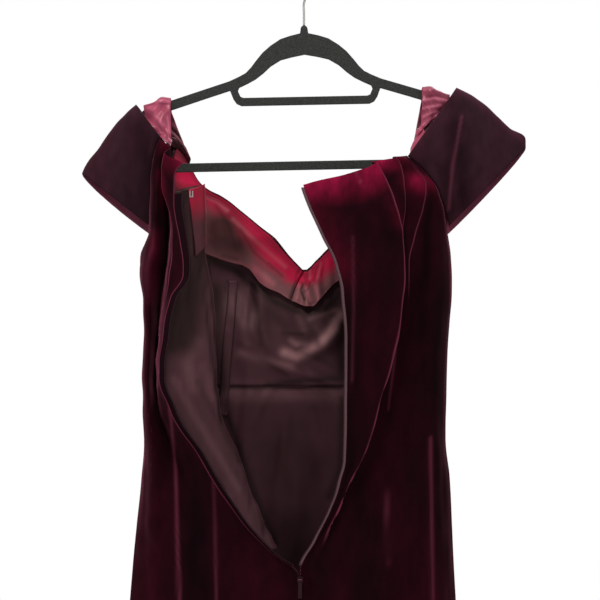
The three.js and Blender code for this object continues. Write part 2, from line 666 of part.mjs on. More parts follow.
function toManifold(geometry) {
  geometry.deleteAttribute('normal');
  geometry.deleteAttribute('uv');
  const merged = mergeVertices(geometry);
  const mesh = new wasm.Mesh({
    numProp: 3,
    vertProperties: new Float32Array(merged.attributes.position.array),
    triVerts: new Uint32Array(merged.index.array),
  });
  return new wasm.Manifold(mesh);
}

function fromManifold(solid) {
  const mesh = solid.getMesh();
  const geometry = new THREE.BufferGeometry();
  geometry.setAttribute('position', new THREE.BufferAttribute(mesh.vertProperties, 3));
  geometry.setIndex(new THREE.BufferAttribute(mesh.triVerts, 1));
  return geometry;
}

function zipSlider() {
  const { wide, high, deep } = SLIDER;
  const half = wide / 2;
  const plate = new THREE.Shape([
    new THREE.Vector2(-half * 0.5, -high / 2), new THREE.Vector2(half * 0.5, -high / 2),
    new THREE.Vector2(half * 0.8, 0), new THREE.Vector2(half, high * 0.35),
    new THREE.Vector2(half * 0.7, high / 2), new THREE.Vector2(-half * 0.7, high / 2),
    new THREE.Vector2(-half, high * 0.35), new THREE.Vector2(-half * 0.8, 0),
  ]);
  const bodyPlate = slab(plate, deep, SLIDER.back - deep / 2);
  bodyPlate.translate(SLIDER.x, 0, SLIDER.z);
  let solid = toManifold(bodyPlate);
  const reach = SLIDER.back - deep + 0.6 - (PIN.y - 1.4);
  for (const side of [-1, 1]) {
    const cheek = new THREE.BoxGeometry(0.9, reach, 3.4);
    cheek.translate(SLIDER.x + side * (PIN.span / 2 - 0.45), PIN.y - 1.4 + reach / 2, PIN.z);
    solid = solid.add(toManifold(cheek));
  }
  const pin = new THREE.CylinderGeometry(PIN.radius, PIN.radius, PIN.span - 1, 12);
  pin.rotateZ(Math.PI / 2);
  pin.translate(SLIDER.x, PIN.y, PIN.z);
  return fromManifold(solid.add(toManifold(pin)));
}

// the tab's side view, y and z about the pin, made wide along x
function zipPull() {
  const { eye, thick, long, wide } = TAB;
  const meet = Math.asin(thick / 2 / eye);
  const shape = new THREE.Shape();
  shape.absarc(0, 0, eye, -Math.PI / 2 + meet, (3 * Math.PI) / 2 - meet);
  shape.lineTo(-thick / 2, -long);
  shape.lineTo(thick / 2, -long);
  shape.holes.push(new THREE.Path().absarc(0, 0, PIN.radius + TAB.clearance, 0, 2 * Math.PI, true));
  const geometry = new THREE.ExtrudeGeometry(shape, { depth: wide, bevelEnabled: false, curveSegments: 10 });
  geometry.rotateX(Math.PI / 2);
  geometry.rotateZ(Math.PI / 2);
  geometry.translate(SLIDER.x - wide / 2, PIN.y, PIN.z);
  return geometry;
}

// a flat bent hook at the top of the zip, set on a cloth surface
function neckHook(place, normal) {
  const { wide, high, wire, thick } = NECK_HOOK;
  const half = wide / 2;
  const shape = new THREE.Shape([
    new THREE.Vector2(-half, -high / 2), new THREE.Vector2(half, -high / 2),
    new THREE.Vector2(half, high / 2), new THREE.Vector2(half - wire, high / 2),
    new THREE.Vector2(half - wire, -high / 2 + wire), new THREE.Vector2(wire - half, -high / 2 + wire),
    new THREE.Vector2(wire - half, high / 2), new THREE.Vector2(-half, high / 2),
  ]);
  const geometry = slab(shape, thick, -(thick + SATIN) / 2 - LAY_GAP);
  geometry.rotateZ(Math.atan2(normal.x, -normal.y));
  geometry.translate(place.x, place.y, place.z);
  return geometry;
}

// ---------------------------------------------------------------- the group

const COLOURS = {
  velvet: { color: 0x4a1022, roughness: 0.9, metalness: 0 },
  crimson: { color: 0x9c1c3f, roughness: 0.45, metalness: 0 },
  pink: { color: 0x9a4a66, roughness: 0.45, metalness: 0 },
  lining: { color: 0x3f2529, roughness: 0.5, metalness: 0 },
  tape: { color: 0x4a3038, roughness: 0.8, metalness: 0 },
  flock: { color: 0x1c1c1b, roughness: 1, metalness: 0 },
  steel: { color: 0xbdbdb6, roughness: 0.3, metalness: 1 },
};

const dress = new THREE.Group();

function put(name, geometry, look) {
  const mesh = new THREE.Mesh(geometry, new THREE.MeshStandardMaterial(COLOURS[look]));
  mesh.name = name;
  dress.add(mesh);
}

const leftTop = curve(LEFT_BACK_TOP, 'across', 'z');

put('hanger_body', hangerBody(), 'flock');
put('hanger_hook', hangerHook(), 'steel');

put('front', wall(FRONT.points, VELVET, flatX, flatX), 'velvet');
put('back_left', wall(leftBackGrid(), VELVET, flatX, flatY), 'velvet');
put('back_right', wall(rightBackGrid(), VELVET, flatY, flatX), 'velvet');

put('sleeve_left', wall(sleeveGrid('Left', SLEEVE_LEFT), VELVET, acrossY, acrossY), 'velvet');
put('sleeve_right', wall(sleeveGrid('Right', SLEEVE_RIGHT), VELVET, acrossY, acrossY), 'velvet');

const strapLeft = strapGrid(
  STRAP_LEFT,
  (t) => leftBackPoint(mix(0.4, 0.6, t), leftTop(mix(0.4, 0.6, t)) + VELVET / 2),
  (t) => frontPoint(mix(0.03, 0.21, t), frontTop(mix(0.03, 0.21, t)) + VELVET),
);
const strapRight = strapGrid(
  STRAP_RIGHT,
  (t) => {
    const [seamX, seamY, seamZ] = ['x', 'y', 'z'].map((axis) => curve(STRAP_RIGHT_SEAM, 'across', axis)(t));
    return new THREE.Vector3(seamX, seamY, seamZ);
  },
  (t) => frontPoint(mix(0.97, 0.8, t), frontTop(mix(0.97, 0.8, t)) + VELVET),
);
put('strap_left', wall(strapLeft, SATIN), 'pink');
put('strap_right', wall(strapRight, SATIN), 'pink');

put('lining_bodice_front', wall(liningBodiceGrid(), SATIN), 'lining');
put('lining_skirt_front', wall(liningSkirtGrid(), SATIN), 'lining');
put('facing_front_left', wall(facingGrid(0.04, 0.5), SATIN), 'crimson');
put('facing_front_right', wall(facingGrid(0.51, 0.9), SATIN), 'crimson');
put('boning_channel', wall(channelGrid(), SATIN), 'lining');

const liningTop = curve(LEFT_LINING_TOP, 'across', 'z');
const liningLevels = BACK_LEVELS.filter((z) => z >= -727).map(level);
const liningRows = [...liningLevels, level(UNDERARM), ...upperRows(level(UNDERARM), liningTop)];
put('lining_back_left', wall(gridOf(leftLiningPoint, steps(0, 1, 9), liningRows), SATIN), 'lining');

const facingLow = curve(NECK_FACING, 'across', 'low');
const facingHigh = curve(NECK_FACING, 'across', 'high');
const facingRows = steps(0, 1, 5).map((high) => (t) => mix(facingLow(t), facingHigh(t), high));
const neckFacing = moved(gridOf(leftLiningPoint, steps(0.15, 0.35, 4), facingRows), SATIN + LAY_GAP + 0.3);
put('facing_back_left', wall(neckFacing, SATIN), 'crimson');
const hookPlace = neckFacing[5][0].clone().lerp(neckFacing[4][1], 0.4);
put('neck_hook', neckHook(hookPlace, gridNormals(neckFacing)[4][0]), 'steel');

const leftWay = (z) => new THREE.Vector3(1, mix(-0.1, -0.9, clamp((-300 - z) / 120, 0, 1)), 0);
const rightWay = () => new THREE.Vector3(-1, 0.15, 0);
const leftTape = (z) => mix(TAPE_LEFT.wide, TAPE_LEFT.narrow, clamp((-640 - z) / 100, 0, 1));
const rightTape = () => TAPE_RIGHT.wide;
put('zip_tape_left', wall(tapeGrid(leftBackPoint, 1, leftWay, leftTape, TAPE_LEFT), SATIN), 'tape');
put('zip_tape_right', wall(tapeGrid(rightBackPoint, 0, rightWay, rightTape, TAPE_RIGHT), SATIN), 'tape');
put('zip_slider', zipSlider(), 'steel');
put('zip_pull', zipPull(), 'steel');

export default dress;
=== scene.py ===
"""The looks of a velvet maxi dress on its flocked hanger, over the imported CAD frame.

Tables and sizes are in millimetres, in the part's own frame: +Z up, the origin under the hook's crown,
-Y the back of the dress with its open zip, +Y the front. make() turns them into metres.
"""
import math

import bpy
import numpy as np
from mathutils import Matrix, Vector


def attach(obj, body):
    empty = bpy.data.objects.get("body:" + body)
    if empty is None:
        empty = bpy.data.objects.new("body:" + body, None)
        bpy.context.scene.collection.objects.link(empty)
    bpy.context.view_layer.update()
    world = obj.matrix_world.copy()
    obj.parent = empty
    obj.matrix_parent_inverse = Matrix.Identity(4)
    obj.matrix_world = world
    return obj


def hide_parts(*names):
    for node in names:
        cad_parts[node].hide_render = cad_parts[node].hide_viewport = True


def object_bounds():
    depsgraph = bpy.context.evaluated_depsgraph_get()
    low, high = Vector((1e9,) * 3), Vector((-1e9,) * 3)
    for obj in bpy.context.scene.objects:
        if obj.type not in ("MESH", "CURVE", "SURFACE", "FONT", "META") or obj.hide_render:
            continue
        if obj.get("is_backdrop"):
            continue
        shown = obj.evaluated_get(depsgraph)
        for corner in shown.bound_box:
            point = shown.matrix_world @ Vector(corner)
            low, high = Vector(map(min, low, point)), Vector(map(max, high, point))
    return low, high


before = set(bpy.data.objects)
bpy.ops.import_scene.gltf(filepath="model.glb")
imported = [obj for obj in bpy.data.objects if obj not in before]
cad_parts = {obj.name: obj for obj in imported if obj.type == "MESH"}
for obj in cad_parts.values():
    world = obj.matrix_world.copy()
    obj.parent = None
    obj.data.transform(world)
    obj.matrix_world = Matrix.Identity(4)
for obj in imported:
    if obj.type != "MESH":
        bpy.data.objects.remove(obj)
CAD_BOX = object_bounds()

MM = 0.001
BODY_NAME = "dress"

# ------------------------------------------------------------------ sizes

VELVET = 2.0
SATIN = 1.2
LINING_LOOK = 0.7                 # walls as they are drawn: the lining, the pieces on it, the satin trims
TRIM_LOOK = 0.8
SATIN_LOOK = 0.9
SEAM_GAP = 0.3
SEAM_LAP = 0.15                   # how far two panels pass the line of a closed seam, so no light shows
LAY_GAP = 0.5
SEAM_CLEAR = 1.1                  # between an armhole seam and its sleeve
UNDERARM = -340
HEM = -1540
WAIST_SEAM = -529
ZIP_END = -764
CENTRE_BACK = -5
NECK_POINT = 0.525                # the dip of the neckline, as a share of the front's width
SKIRT_ROWS = -800                 # below it the skirt's rows of points lie further apart
FRONT_ROWS = -460                 # above it the front's rows turn into its neckline
FRONT_DIP = 66                    # how far those rows sag in the middle at the underarm
HANGER_THICK = 5
HANGER_EDGE = 1.2                 # rounding of the hanger's edges
HANGER_TILT = math.radians(1.1)
HANGER_TOP = -78
ARM_START, ARM_END = (95, -145.5), (201, -178.5)
ARM_SLOPE = (ARM_START[1] - ARM_END[1]) / (ARM_END[0] - ARM_START[0])
WIRE_RADIUS = 1.5
HOOK_RADIUS = 20
FACING_LIFT = 3.5
FACING_SLANT = 0.05               # how far left the facings' centre seam ends, as a share of the front
SLEEVE_BULGE = 13
FRONT_HALF_SAMPLE = (20, 80)      # a point of a sleeve's grid on its front half
FRONT_HALF_DROP = 7
SLEEVE_TUCK = 3.5                 # how far the front half's foot goes in behind the back
BACK_HALF_RAISE = 12              # how far the back half stops short of the front half at the underarm
FOLD_START = -560
LINING_SIDES = (0.03, 0.97)       # where the front lining starts and ends, as shares of the front
TUCK = 6                          # how far the skirt lining goes up under the bodice lining
NECK_LIFT = 0.9                   # more room under the left back's neck facing
FACING_DROP = 1.2                 # how far the facings lie below the neckline's edge
BODICE_DROP = 4                   # and the bodice lining
SKIRT_LINING = (ZIP_END - 56, WAIST_SEAM + 4)
TAPE_FOOT = -745
TAPE_START = 0.6
TAPE_TUCK = -0.7                  # where a tape starts, just under the back's edge
TAPE_CUT = 0.01
# lean is the way a tape goes in from its edge, in y for each x, at the top and lower down
TAPES = {"left": {"top": -291, "wide": 9, "narrow": 5, "out": 1, "lean": (-0.1, -0.9), "length": 0.5},
         "right": {"top": -283, "wide": 3, "narrow": 3, "out": -1, "lean": (0.15, 0.15), "length": 0.48}}
CHANNEL_HALF = 6.2
NECK_SLOPE = 0.74                 # mm away from the neckline's edge for each mm below it
NECK_TRIM = [(0.6, 1.5, 1.0), (4.4, 0.55, 0.6), (6.8, 0.5, 0.45)]    # velvet edge and two seam lines
ARMHOLE_TOP = {"backLeft": -219, "frontLeft": -223, "backRight": -242, "frontRight": -222}
BUST = {"x": 88, "z": -392, "wide": 44, "high": 46, "depth": 13, "middle": -6}
WAIST_BAND = {"z": -545, "high": 9, "depth": 2.5}
CRESCENT = {"x": 8, "z": -447, "radius": 38, "from": -130, "to": 15, "wide": 9, "depth": 5}
STRAP_LEFT = {"inner": -166, "outer": -199, "innerBow": 0, "outerBow": -10, "lowShare": 0.8}
STRAP_RIGHT = {"inner": 147, "outer": 181, "innerBow": 7, "outerBow": 0, "lowShare": 0.6}
STRAP_TUCK = {"inward": 0.42, "up": 8}
STRAP_COLUMNS = 7
STRAP_FINE = (110, 26)            # points along and across a strap


def numbers(text, width):
    """Rows of numbers from a text, whose commas only show where a row ends."""
    return np.array(text.replace(",", " ").split(), float).reshape(-1, width)


def table(columns, text):
    names = columns.split()
    return dict(zip(names, numbers(text, len(names)).T))


CREASE = "x z lean long wide depth"

# side seams and depths of the body
BODY = table("z left right front back", """
-340 -191 179 36 28, -372 -204 183 43 30, -402 -201 184 45 32, -448 -196 181 42 32, -500 -199 178 38 33,
-545 -200 177 38 34, -590 -199 176 42 38, -640 -202 181 45 42, -700 -208 184 47 45, -764 -214 187 50 48,
-1000 -232 203 62 60, -1300 -257 221 78 75, -1540 -278 236 90 88""")
# armhole seams above the underarm
ARMHOLE = table("rise backLeft frontLeft backRight frontRight open", """
0 -191 -191 179 179 0.15, 0.2 -190 -189.5 176 178 5, 0.5 -189 -187 168 174 11, 0.75 -187 -182 153 165 15,
1 -176 -173 127 150 17""")
NECKLINE = table("share z", """
0 -223, 0.05 -229, 0.107 -250, 0.168 -277, 0.23 -289, 0.3 -308, 0.368 -328, 0.44 -349, 0.513 -378,
0.525 -382, 0.562 -372, 0.6 -357, 0.67 -330, 0.736 -308, 0.8 -289, 0.86 -270, 0.925 -247, 1 -222""")
FACING_EDGE = table("share z", """
0.1 -345, 0.245 -366, 0.3 -372, 0.345 -378, 0.385 -400, 0.44 -412, 0.495 -425, 0.54 -430, 0.57 -421,
0.62 -400, 0.7 -384, 0.9 -350""")
LEFT_BACK = table("z foldX foldY valleyX valleyY lapX lapY edgeX edgeY", """
-219 -172 -31 -165 -25 -166 -39 -146 -44
-250 -177 -33 -166 -24 -173 -42 -147 -46
-262 -179 -34 -166.5 -23 -175 -43 -156 -49
-275 -180 -35 -167 -22 -175 -44 -158 -51
-300 -182 -37 -168 -20 -168.5 -45 -158 -55
-318 -183 -38 -168 -19 -162.5 -47 -156 -57
-352 -185 -40 -169 -17 -160.5 -49 -149.5 -60
-389 -193 -42 -173 -16 -163.5 -52 -146 -62
-417 -191 -42 -178 -18 -168 -50 -161 -64
-470 -190 -42 -182 -18 -178 -42 -171 -66
-505 -192 -42 -185 -18 -181 -42 -175 -66
-548 -191 -42 -181 -20 -174 -42 -164 -64
-605 -187 -40 -165 -24 -149 -43 -130 -60
-670 -185 -40 -145 -32 -118 -45 -90 -56
-727 -180 -38 -125 -40 -84 -46 -42 -51
-764 -176 -36 -112 -45 -58 -47 -5 -48
-800 -178 -37 -112 -47 -58 -49 -5 -50
-1000 -191 -44 -116 -55 -60 -58 -5 -60
-1300 -209 -56 -125 -69 -65 -73 -5 -75
-1540 -223 -66 -132 -81 -68 -86 -5 -88""")
RIGHT_BACK = table("z edgeX edgeY aX aY auX auY bX bY buX buY cX cY outerX outerY", """
-242 -14 -44 82 -46 78 -39 112 -37 109 -30 119 -26 123 -21
-262 -7 -47 94 -51 89 -43 120 -40 115 -33 139 -29 144 -22
-280 -1 -50 102.5 -54 97 -46 122.5 -42 117.5 -35 150 -33 155.5 -25
-304 7.5 -54 110.5 -57 105 -49 124 -44 119.5 -37 147 -34 158 -27
-322 15.5 -56 116 -58 110.5 -50 122 -44 120.5 -37.5 142 -33 158 -28
-345 26 -58 120.5 -59 115 -51 119.5 -43.5 122.5 -37 135 -32 160 -31
-383 42.5 -60 122 -60 116.5 -52 119 -44 123 -37 129 -31 162 -33
-420 49 -61 119 -61 113.5 -52 116.5 -43 121 -35 129 -28 162 -34
-483 52.5 -61 109 -60 103.5 -52 107 -43 112 -35 120 -29 158 -33
-545 52 -61 92 -60 87 -52 91 -44 96 -37 105 -31 154 -32
-608 51 -60 74 -58 69.5 -51 75 -44 81 -38 90 -33 152 -33
-639 45 -59 58 -57 54 -50 61 -44 69 -39 81 -35 153 -34
-677 32.5 -57 42 -55 40 -49 51 -44 63 -40 77 -37.5 154 -35
-714 14 -53 25 -53 28 -48 43 -45 59 -42.5 75 -41 155 -36
-764 -5 -48 12 -49.5 21 -48 40 -47 60 -46.5 82 -46 156 -37
-800 -5 -50 12 -51 22 -50 42 -49 62 -48 85 -47 157 -38
-1000 -5 -60 14 -60 25 -59.5 47 -59 71 -58 97 -56 168 -45
-1300 -5 -75 16 -75 28 -74.5 51 -73.5 77 -71.5 107 -69 182 -56
-1540 -5 -88 18 -88 31 -87.5 55 -86.5 83 -84 115 -81 194 -66""")
RIGHT_BACK_TOP = table("across z", """
0 -280, 0.04 -274.5, 0.111 -267, 0.17 -259, 0.222 -253, 0.333 -251, 0.444 -246, 0.667 -243.5, 1 -242""")
LEFT_BACK_TOP = table("across z", """
0 -219, 0.4 -226, 0.6 -232, 0.8 -241, 1 -253""")
LEFT_LINING = table("z foldX foldY innerX innerY endX endY", """
-250 -126 -42 -134 -20 -166 -10
-300 -124 -40 -134 -16 -174 -8
-358 -122 -38 -136 -14 -180 -6
-420 -112 -36 -128 -12 -186 -5
-495 -109 -34 -126 -12 -184 -5
-545 -105 -34 -122 -12 -180 -6
-608 -82 -34 -98 -13 -148 -10
-670 -60 -34 -74 -15 -108 -13
-727 -33 -35 -46 -20 -70 -17""")
LEFT_LINING_TOP = table("across z", """
0 -288, 0.33 -280, 1 -292""")
NECK_FACING = table("across low high", """
0.15 -368 -285.5, 0.35 -349 -278""")
BACK_FOLDS = table("topX hemX width depth", """
-200 -254 17 9, -152 -186 18 15, -106 -122 20 14, -48 -58 22 12, 40 56 22 12, 103 122 20 15,
159 196 17 11""")
FRONT_FOLDS = table("topX hemX width depth", """
-160 -198 20 13, -88 -112 24 14, -6 -10 26 12, 76 100 24 15, 146 180 20 11""")
SLEEVE_LEFT = table("rise x z", """
0 -276.5 -263, 0.1 -272 -253, 0.3 -256 -232, 0.5 -241 -210, 0.75 -224 -191, 1 -209 -177""")
SLEEVE_RIGHT = table("rise x z", """
0 276 -231, 0.08 276 -222, 0.3 257 -207, 0.5 241 -192, 0.75 217 -171, 1 190 -156""")
STRAP_RIGHT_SEAM = table("across x y z", """
0 150 -18 -214, 1 131 -15 -240""")
STRAP_OVER = table("y lift", """
-6.2 -14, -4.8 -5, -4.1 -0.1, -2.6 1.15, 0 1.2, 2.6 1.15, 4.1 -0.1, 4.8 -5, 6.2 -14""")
CHANNEL = table("z x", """
-396 -90.5, -430 -93, -470 -96.5, -514 -100, -566 -104""")
HANGER_OUTER = numbers("""
2.6 -78, 4.2 -80.5, 5.2 -87.2, 17.5 -90, 30 -94, 42.5 -102, 52.5 -110.5, 61 -120.5, 67.5 -129, 74 -135.5,
82.5 -140, 95 -145.5, 201 -178.5, 205 -182, 205 -187, 196 -225, 191 -252, 185 -258""", 2)
HANGER_LOOP = numbers("""
0 -114, 16 -117, 30 -120.5, 42.5 -128, 52.5 -137, 62 -144, 72.5 -149.5, 82.5 -154, 84 -158, 81 -165,
77.5 -166.5""", 2)
HANGER_GAP = numbers("""
80 -176.8, 86 -174, 90 -168, 94 -157.5, 120 -165.5, 190 -187.5, 193 -191, 186 -225, 181 -245, 178 -247""", 2)
# creases: soft troughs (depth below 0) and ridges
LINING_CREASES = table(CREASE, """
-58 -440 0.25 60 16 5, -20 -505 -1.1 70 14 6, 20 -470 -0.7 55 13 5, -75 -600 0.1 80 18 6,
-12 -650 0.05 90 20 7""")
FINE_LINING = table(CREASE, """
-60 -442 -0.2 40 5 -3, -40 -500 -1.6 50 4.5 1.6, 28 -438 -1 35 3.5 1.2, -70 -420 0.15 40 5 -1.6,
0 -515 -3 40 4 1.8, -48 -545 0.6 30 5 1.4, 10 -560 -0.3 50 6 1.8, -30 -620 0.15 70 6 2.2,
-60 -680 -0.2 50 6 1.6, -85 -580 0.1 60 5 -1.8, 20 -500 -2 30 4 -1.6, -20 -700 0.1 50 7 -2""")
BACK_LEFT_CREASES = table(CREASE, """
-186 -560 0.05 120 5 -2.2, -150 -640 -0.55 70 6 -2, -120 -700 -0.6 60 6 1.6, -178 -300 0.08 50 4 -1.8,
-194 -430 0.02 90 4 1.5, -70 -790 -0.3 60 9 1.8, -196 -640 0.04 90 5 -1.6""")
BACK_RIGHT_CREASES = table(CREASE, """
60 -400 0.02 90 7 1.6, 66 -262 -0.55 12 4 -2, 103 -700 -0.03 45 3 -1.6, 112 -470 0.05 60 4 1.4,
146 -330 0.12 60 6 -2, 152 -480 0.02 110 6 1.6, 86 -330 -0.15 40 8 -1.4, 30 -330 -0.3 40 9 1.5,
120 -620 0.1 80 6 -1.6, 165 -640 -0.04 80 5 1.4""")
FRONT_CREASES = table(CREASE, """
-120 -470 -0.5 45 9 1.8, 104 -480 0.5 45 9 1.8, -6 -430 0 40 12 -2, -60 -560 0.3 60 9 -1.6,
58 -570 -0.25 70 9 -1.6, -150 -700 0.1 120 8 1.6, 130 -720 -0.1 120 8 -1.6""")
SLEEVE_LEFT_CREASES = table(CREASE, """
-225 -225 0.6 40 6 1.6, -205 -250 0.2 45 6 -1.8, -245 -250 0.8 30 7 1.4, -190 -215 0.1 25 4 -1.4""")
SLEEVE_RIGHT_CREASES = table(CREASE, """
192 -240 -0.05 60 5 -2.2, 225 -230 -0.7 40 8 1.8, 205 -200 -0.2 30 6 1.6, 245 -225 -0.8 25 6 -1.4""")

# painted crimson glow of top light at each back's top edge: its strength, and how far down it goes
PAINTED_GLOW_LEFT = table("across strength depth", """
0 0.1 20, 0.4 0.25 22, 0.8 0.4 24, 1 0.35 30""")
PAINTED_GLOW_RIGHT = table("across strength depth", """
0 0.75 38, 0.2 0.95 40, 0.28 0.5 22, 0.4 0.9 20, 0.5 0.35 18, 0.7 0.25 20, 0.8 0.05 12, 1 0 10""")
# fold marks of the backs: control line across, width, low, high, strength
FOLD_MARKS = {
    "back_left lit": "4 0.8 -440 -225 1, 5 0.9 -760 -240 0.9, 0 0.8 -338 -215 0.6, 2 5 -430 -320 0.22",
    "back_left shade": "3 9 -560 -230 0.85",
    "back_right lit": "2 0.8 -720 -245 1, 4 0.7 -400 -236 0.9, 6 0.7 -420 -250 0.7",
    "back_right shade": "3 5 -720 -246 0.9, 5 4 -420 -240 0.8, 6.64 7 -420 -262 0.7",
}
# painted highlights and shade of folds, and painted crimson glow of top light: width, strength, then x and z
# of each point of a soft line
LINES = {
"bodice shade": """
5.5 0.92  -123.8 -365.5, -108.8 -373, -90 -380.5, -73.8 -394.2, -55 -409.2, -36.2 -423, -18.8 -430.5,
1.2 -436.8, 26.2 -433, 47.5 -411.8;
2.6 0.6  -67.5 -405.5, -57.5 -445.5, -53.8 -476.8;
3 0.95  -122.5 -373, -115 -458, -106.2 -539.2;
11 0.8  -112.5 -408, -105 -533;
1.6 0.7  -81.2 -389.2, -90 -470.5, -98.8 -560.5;
1.6 0.7  -98.8 -395.5, -107.5 -470.5, -113.8 -545.5;
5 0.8  -45 -528, -5 -523, 47.5 -520.5;
7 0.8  48.8 -451.8, 47.5 -520.5;
2.2 0.6  -26.2 -461.8, -1.2 -464.2;
4 0.45  10 -451.8, 17.5 -476.8;
6 0.4  -42.5 -435.5, -23.8 -455.5""",
"bodice lit": """
6 1.15  -25 -486.8, -10 -491.8, 7.5 -485.5, 23.8 -471.8, 37.5 -455.5, 47.5 -439.2;
4 0.5  -16.2 -471.8, -8.8 -478;
6 0.32  -80 -486.8, -48.8 -496.8, -17.5 -503;
3.5 0.4  7.5 -444.2, 30 -435.5, 47.5 -433;
5 0.25  -6.2 -440.5, 0 -458;
5 0.14  -76.2 -448, -72.5 -476.8""",
"skirt shade": """
4 0.85  -105 -543, -82.5 -608, -61.2 -670.5, -35 -730.5;
5 0.7  48.8 -545.5, 46.2 -633, 32.5 -670.5;
22 0.55  -8.8 -708, -8.8 -751.8;
1.6 0.7  -98.8 -531.8, 47.5 -531.8""",
"skirt lit": """
7 0.13  -86.2 -546.8, -5 -544.2, 47.5 -548;
3 0.1  -67.5 -539.2, 7.5 -538""",
"lining_left shade": """
13 0.95  -150 -289.2, -150 -370.5, -157.5 -445.5, -160 -476.8;
19 0.95  -130 -373, -140 -426.8, -150 -470.5;
2.6 0.8  -121.2 -420.5, -111.2 -508, -102.5 -570.5;
1.2 0.7  -115 -408, -106.2 -514.2;
3 0.85  -170 -535.5, -136.2 -595.5, -98.8 -651.8;
3 0.45  -130 -520.5, -102.5 -576.8, -80 -620.5;
5 0.4  -82.5 -633, -50 -704.2""",
"lining_left lit": """
9 0.24  -130 -473, -142.5 -495.5, -135 -526.8;
4.5 0.2  -157.5 -516.8, -136.2 -558, -98.8 -620.5, -80 -651.8;
6 0.16  -123.8 -501.8, -112.5 -539.2""",
"facing_left shade": """
2.5 0.35  -111.2 -301.8, -95 -326.8, -85 -358;
1.6 0.35  -80 -330.5, -65 -358, -40 -380.5;
1.6 0.4  -45 -373, -27.5 -390.5;
1.4 0.7  -20 -424.2, -12.5 -400.5, -6.2 -380.5;
3 0.4  -102.5 -364.2, -85 -368""",
"facing_left lit": """
3 0.4  -126.2 -289.2, -111.2 -295.5, -97.5 -306.8;
3 0.3  -90 -318, -61.2 -345.5, -23.8 -378;
5 0.3  -61.2 -380.5, -40 -399.2""",
"facing_right shade": """
1.4 0.95  -1.2 -399.2, -3.8 -409.2, 1.2 -420.5;
0.9 0.6  8.8 -398, 5 -406.8, -1.2 -411.8;
0.9 0.5  10 -401.8, 11.2 -424.2;
1 0.55  0 -385.5, 2.5 -400.5;
1 0.5  16.2 -378, 12.5 -395.5;
1 0.4  26.2 -373, 22.5 -389.2;
1.2 0.6  -17.5 -424.2, -10 -400.5, -3.8 -380.5;
3 0.35  26.2 -408, 41.2 -399.2""",
"facing_right lit": """
1.8 0.6  3.8 -405.5, 7.5 -421.8;
1.8 0.5  -6.2 -401.8, -8.8 -418;
2.4 0.45  15 -403, 20 -423;
1.6 0.4  7.5 -380.5, 7.5 -394.2;
1.4 0.4  21.2 -373, 17.5 -393""",
"strap_left shade": """
1 0.7  -200 -179.2, -182.5 -175.5, -166.2 -176.8;
0.8 0.4  -192.5 -185.5, -180 -191.8, -167.5 -186.8;
0.9 0.5  -182.5 -198, -176.2 -210.5, -170 -215.5;
0.8 0.4  -172.5 -180.5, -176.2 -200.5, -167.5 -228""",
"strap_left lit": """
1.6 0.5  -197.5 -176.8, -182.5 -171.8, -167.5 -173;
2.2 0.5  -185 -189.2, -175 -203;
1.4 0.5  -170 -193, -167.5 -213""",
"strap_right shade": """
0.9 0.7  146.2 -168, 163.8 -165.5, 183.8 -169.2;
0.8 0.6  146.2 -176.8, 165 -174.2, 178.8 -179.2;
0.9 0.6  147.5 -186.8, 162.5 -181.8, 175 -186.8;
0.8 0.6  146.2 -198, 160 -189.2;
0.8 0.5  147.5 -209.2, 158.8 -196.8;
0.8 0.4  152.5 -160.5, 170 -161.8""",
"strap_right lit": """
1.2 0.6  147.5 -171.8, 162.5 -169.2, 181.2 -173;
1.2 0.6  147.5 -181.8, 170 -178;
1.2 0.5  148.8 -191.8, 165 -185.5;
1.4 0.5  150 -158, 162.5 -156.8, 177.5 -161.8;
1 0.5  148.8 -203, 157.5 -194.2""",
"sleeve_left lit": """
5 0.14  -209 -177, -241 -210, -272 -253""",
"sleeve_left shade": """
12 0.35  -205 -208, -195 -258, -196.2 -314.2""",
"sleeve_right lit": """
2 0.4  195 -193, 184 -253, 180 -308;
6 0.16  190 -156, 241 -192, 276 -225""",
"sleeve_right shade": """
11 0.5  185 -208, 178.8 -264.2, 177.5 -314.2;
13 0.5  192.5 -233, 197.5 -301.8""",
"back_left lit": """
2.2 0.5  -163 -540, -157.5 -660, -152 -800, -154 -1150, -163 -1536;
2 0.28  -110 -640, -107 -800, -108 -1150, -114 -1536""",
"back_left nap": """
5 0.25  -176.2 -264.2, -172.5 -295.5, -165 -326.8;
7 0.16  -182.5 -339.2, -183.8 -420.5""",
"back_right lit": """
2.2 0.42  155 -590, 157.5 -760, 163 -1150, 172 -1536;
2 0.25  100 -655, 105 -745;
1.6 0.3  111 -480, 104 -555;
2 0.2  59 -345, 60 -430, 58 -520;
0.9 0.6  62.5 -263, 66.2 -273, 73.8 -281.8""",
"back_right nap": """
11 0.45  131.2 -273, 148.8 -278;
20 0.13  6.2 -301.8, 26.2 -339.2, 42.5 -383;
9 0.12  105 -295.5, 113.8 -326.8""",
}

# ------------------------------------------------------------------ curves


def mix(a, b, t):
    return a + (b - a) * t


def unit(t):
    return np.clip(t, 0, 1)


def bell(t):
    return np.exp(-t * t)


def direction(v):
    return v / np.maximum(np.linalg.norm(v, axis=-1, keepdims=True), 1e-9)


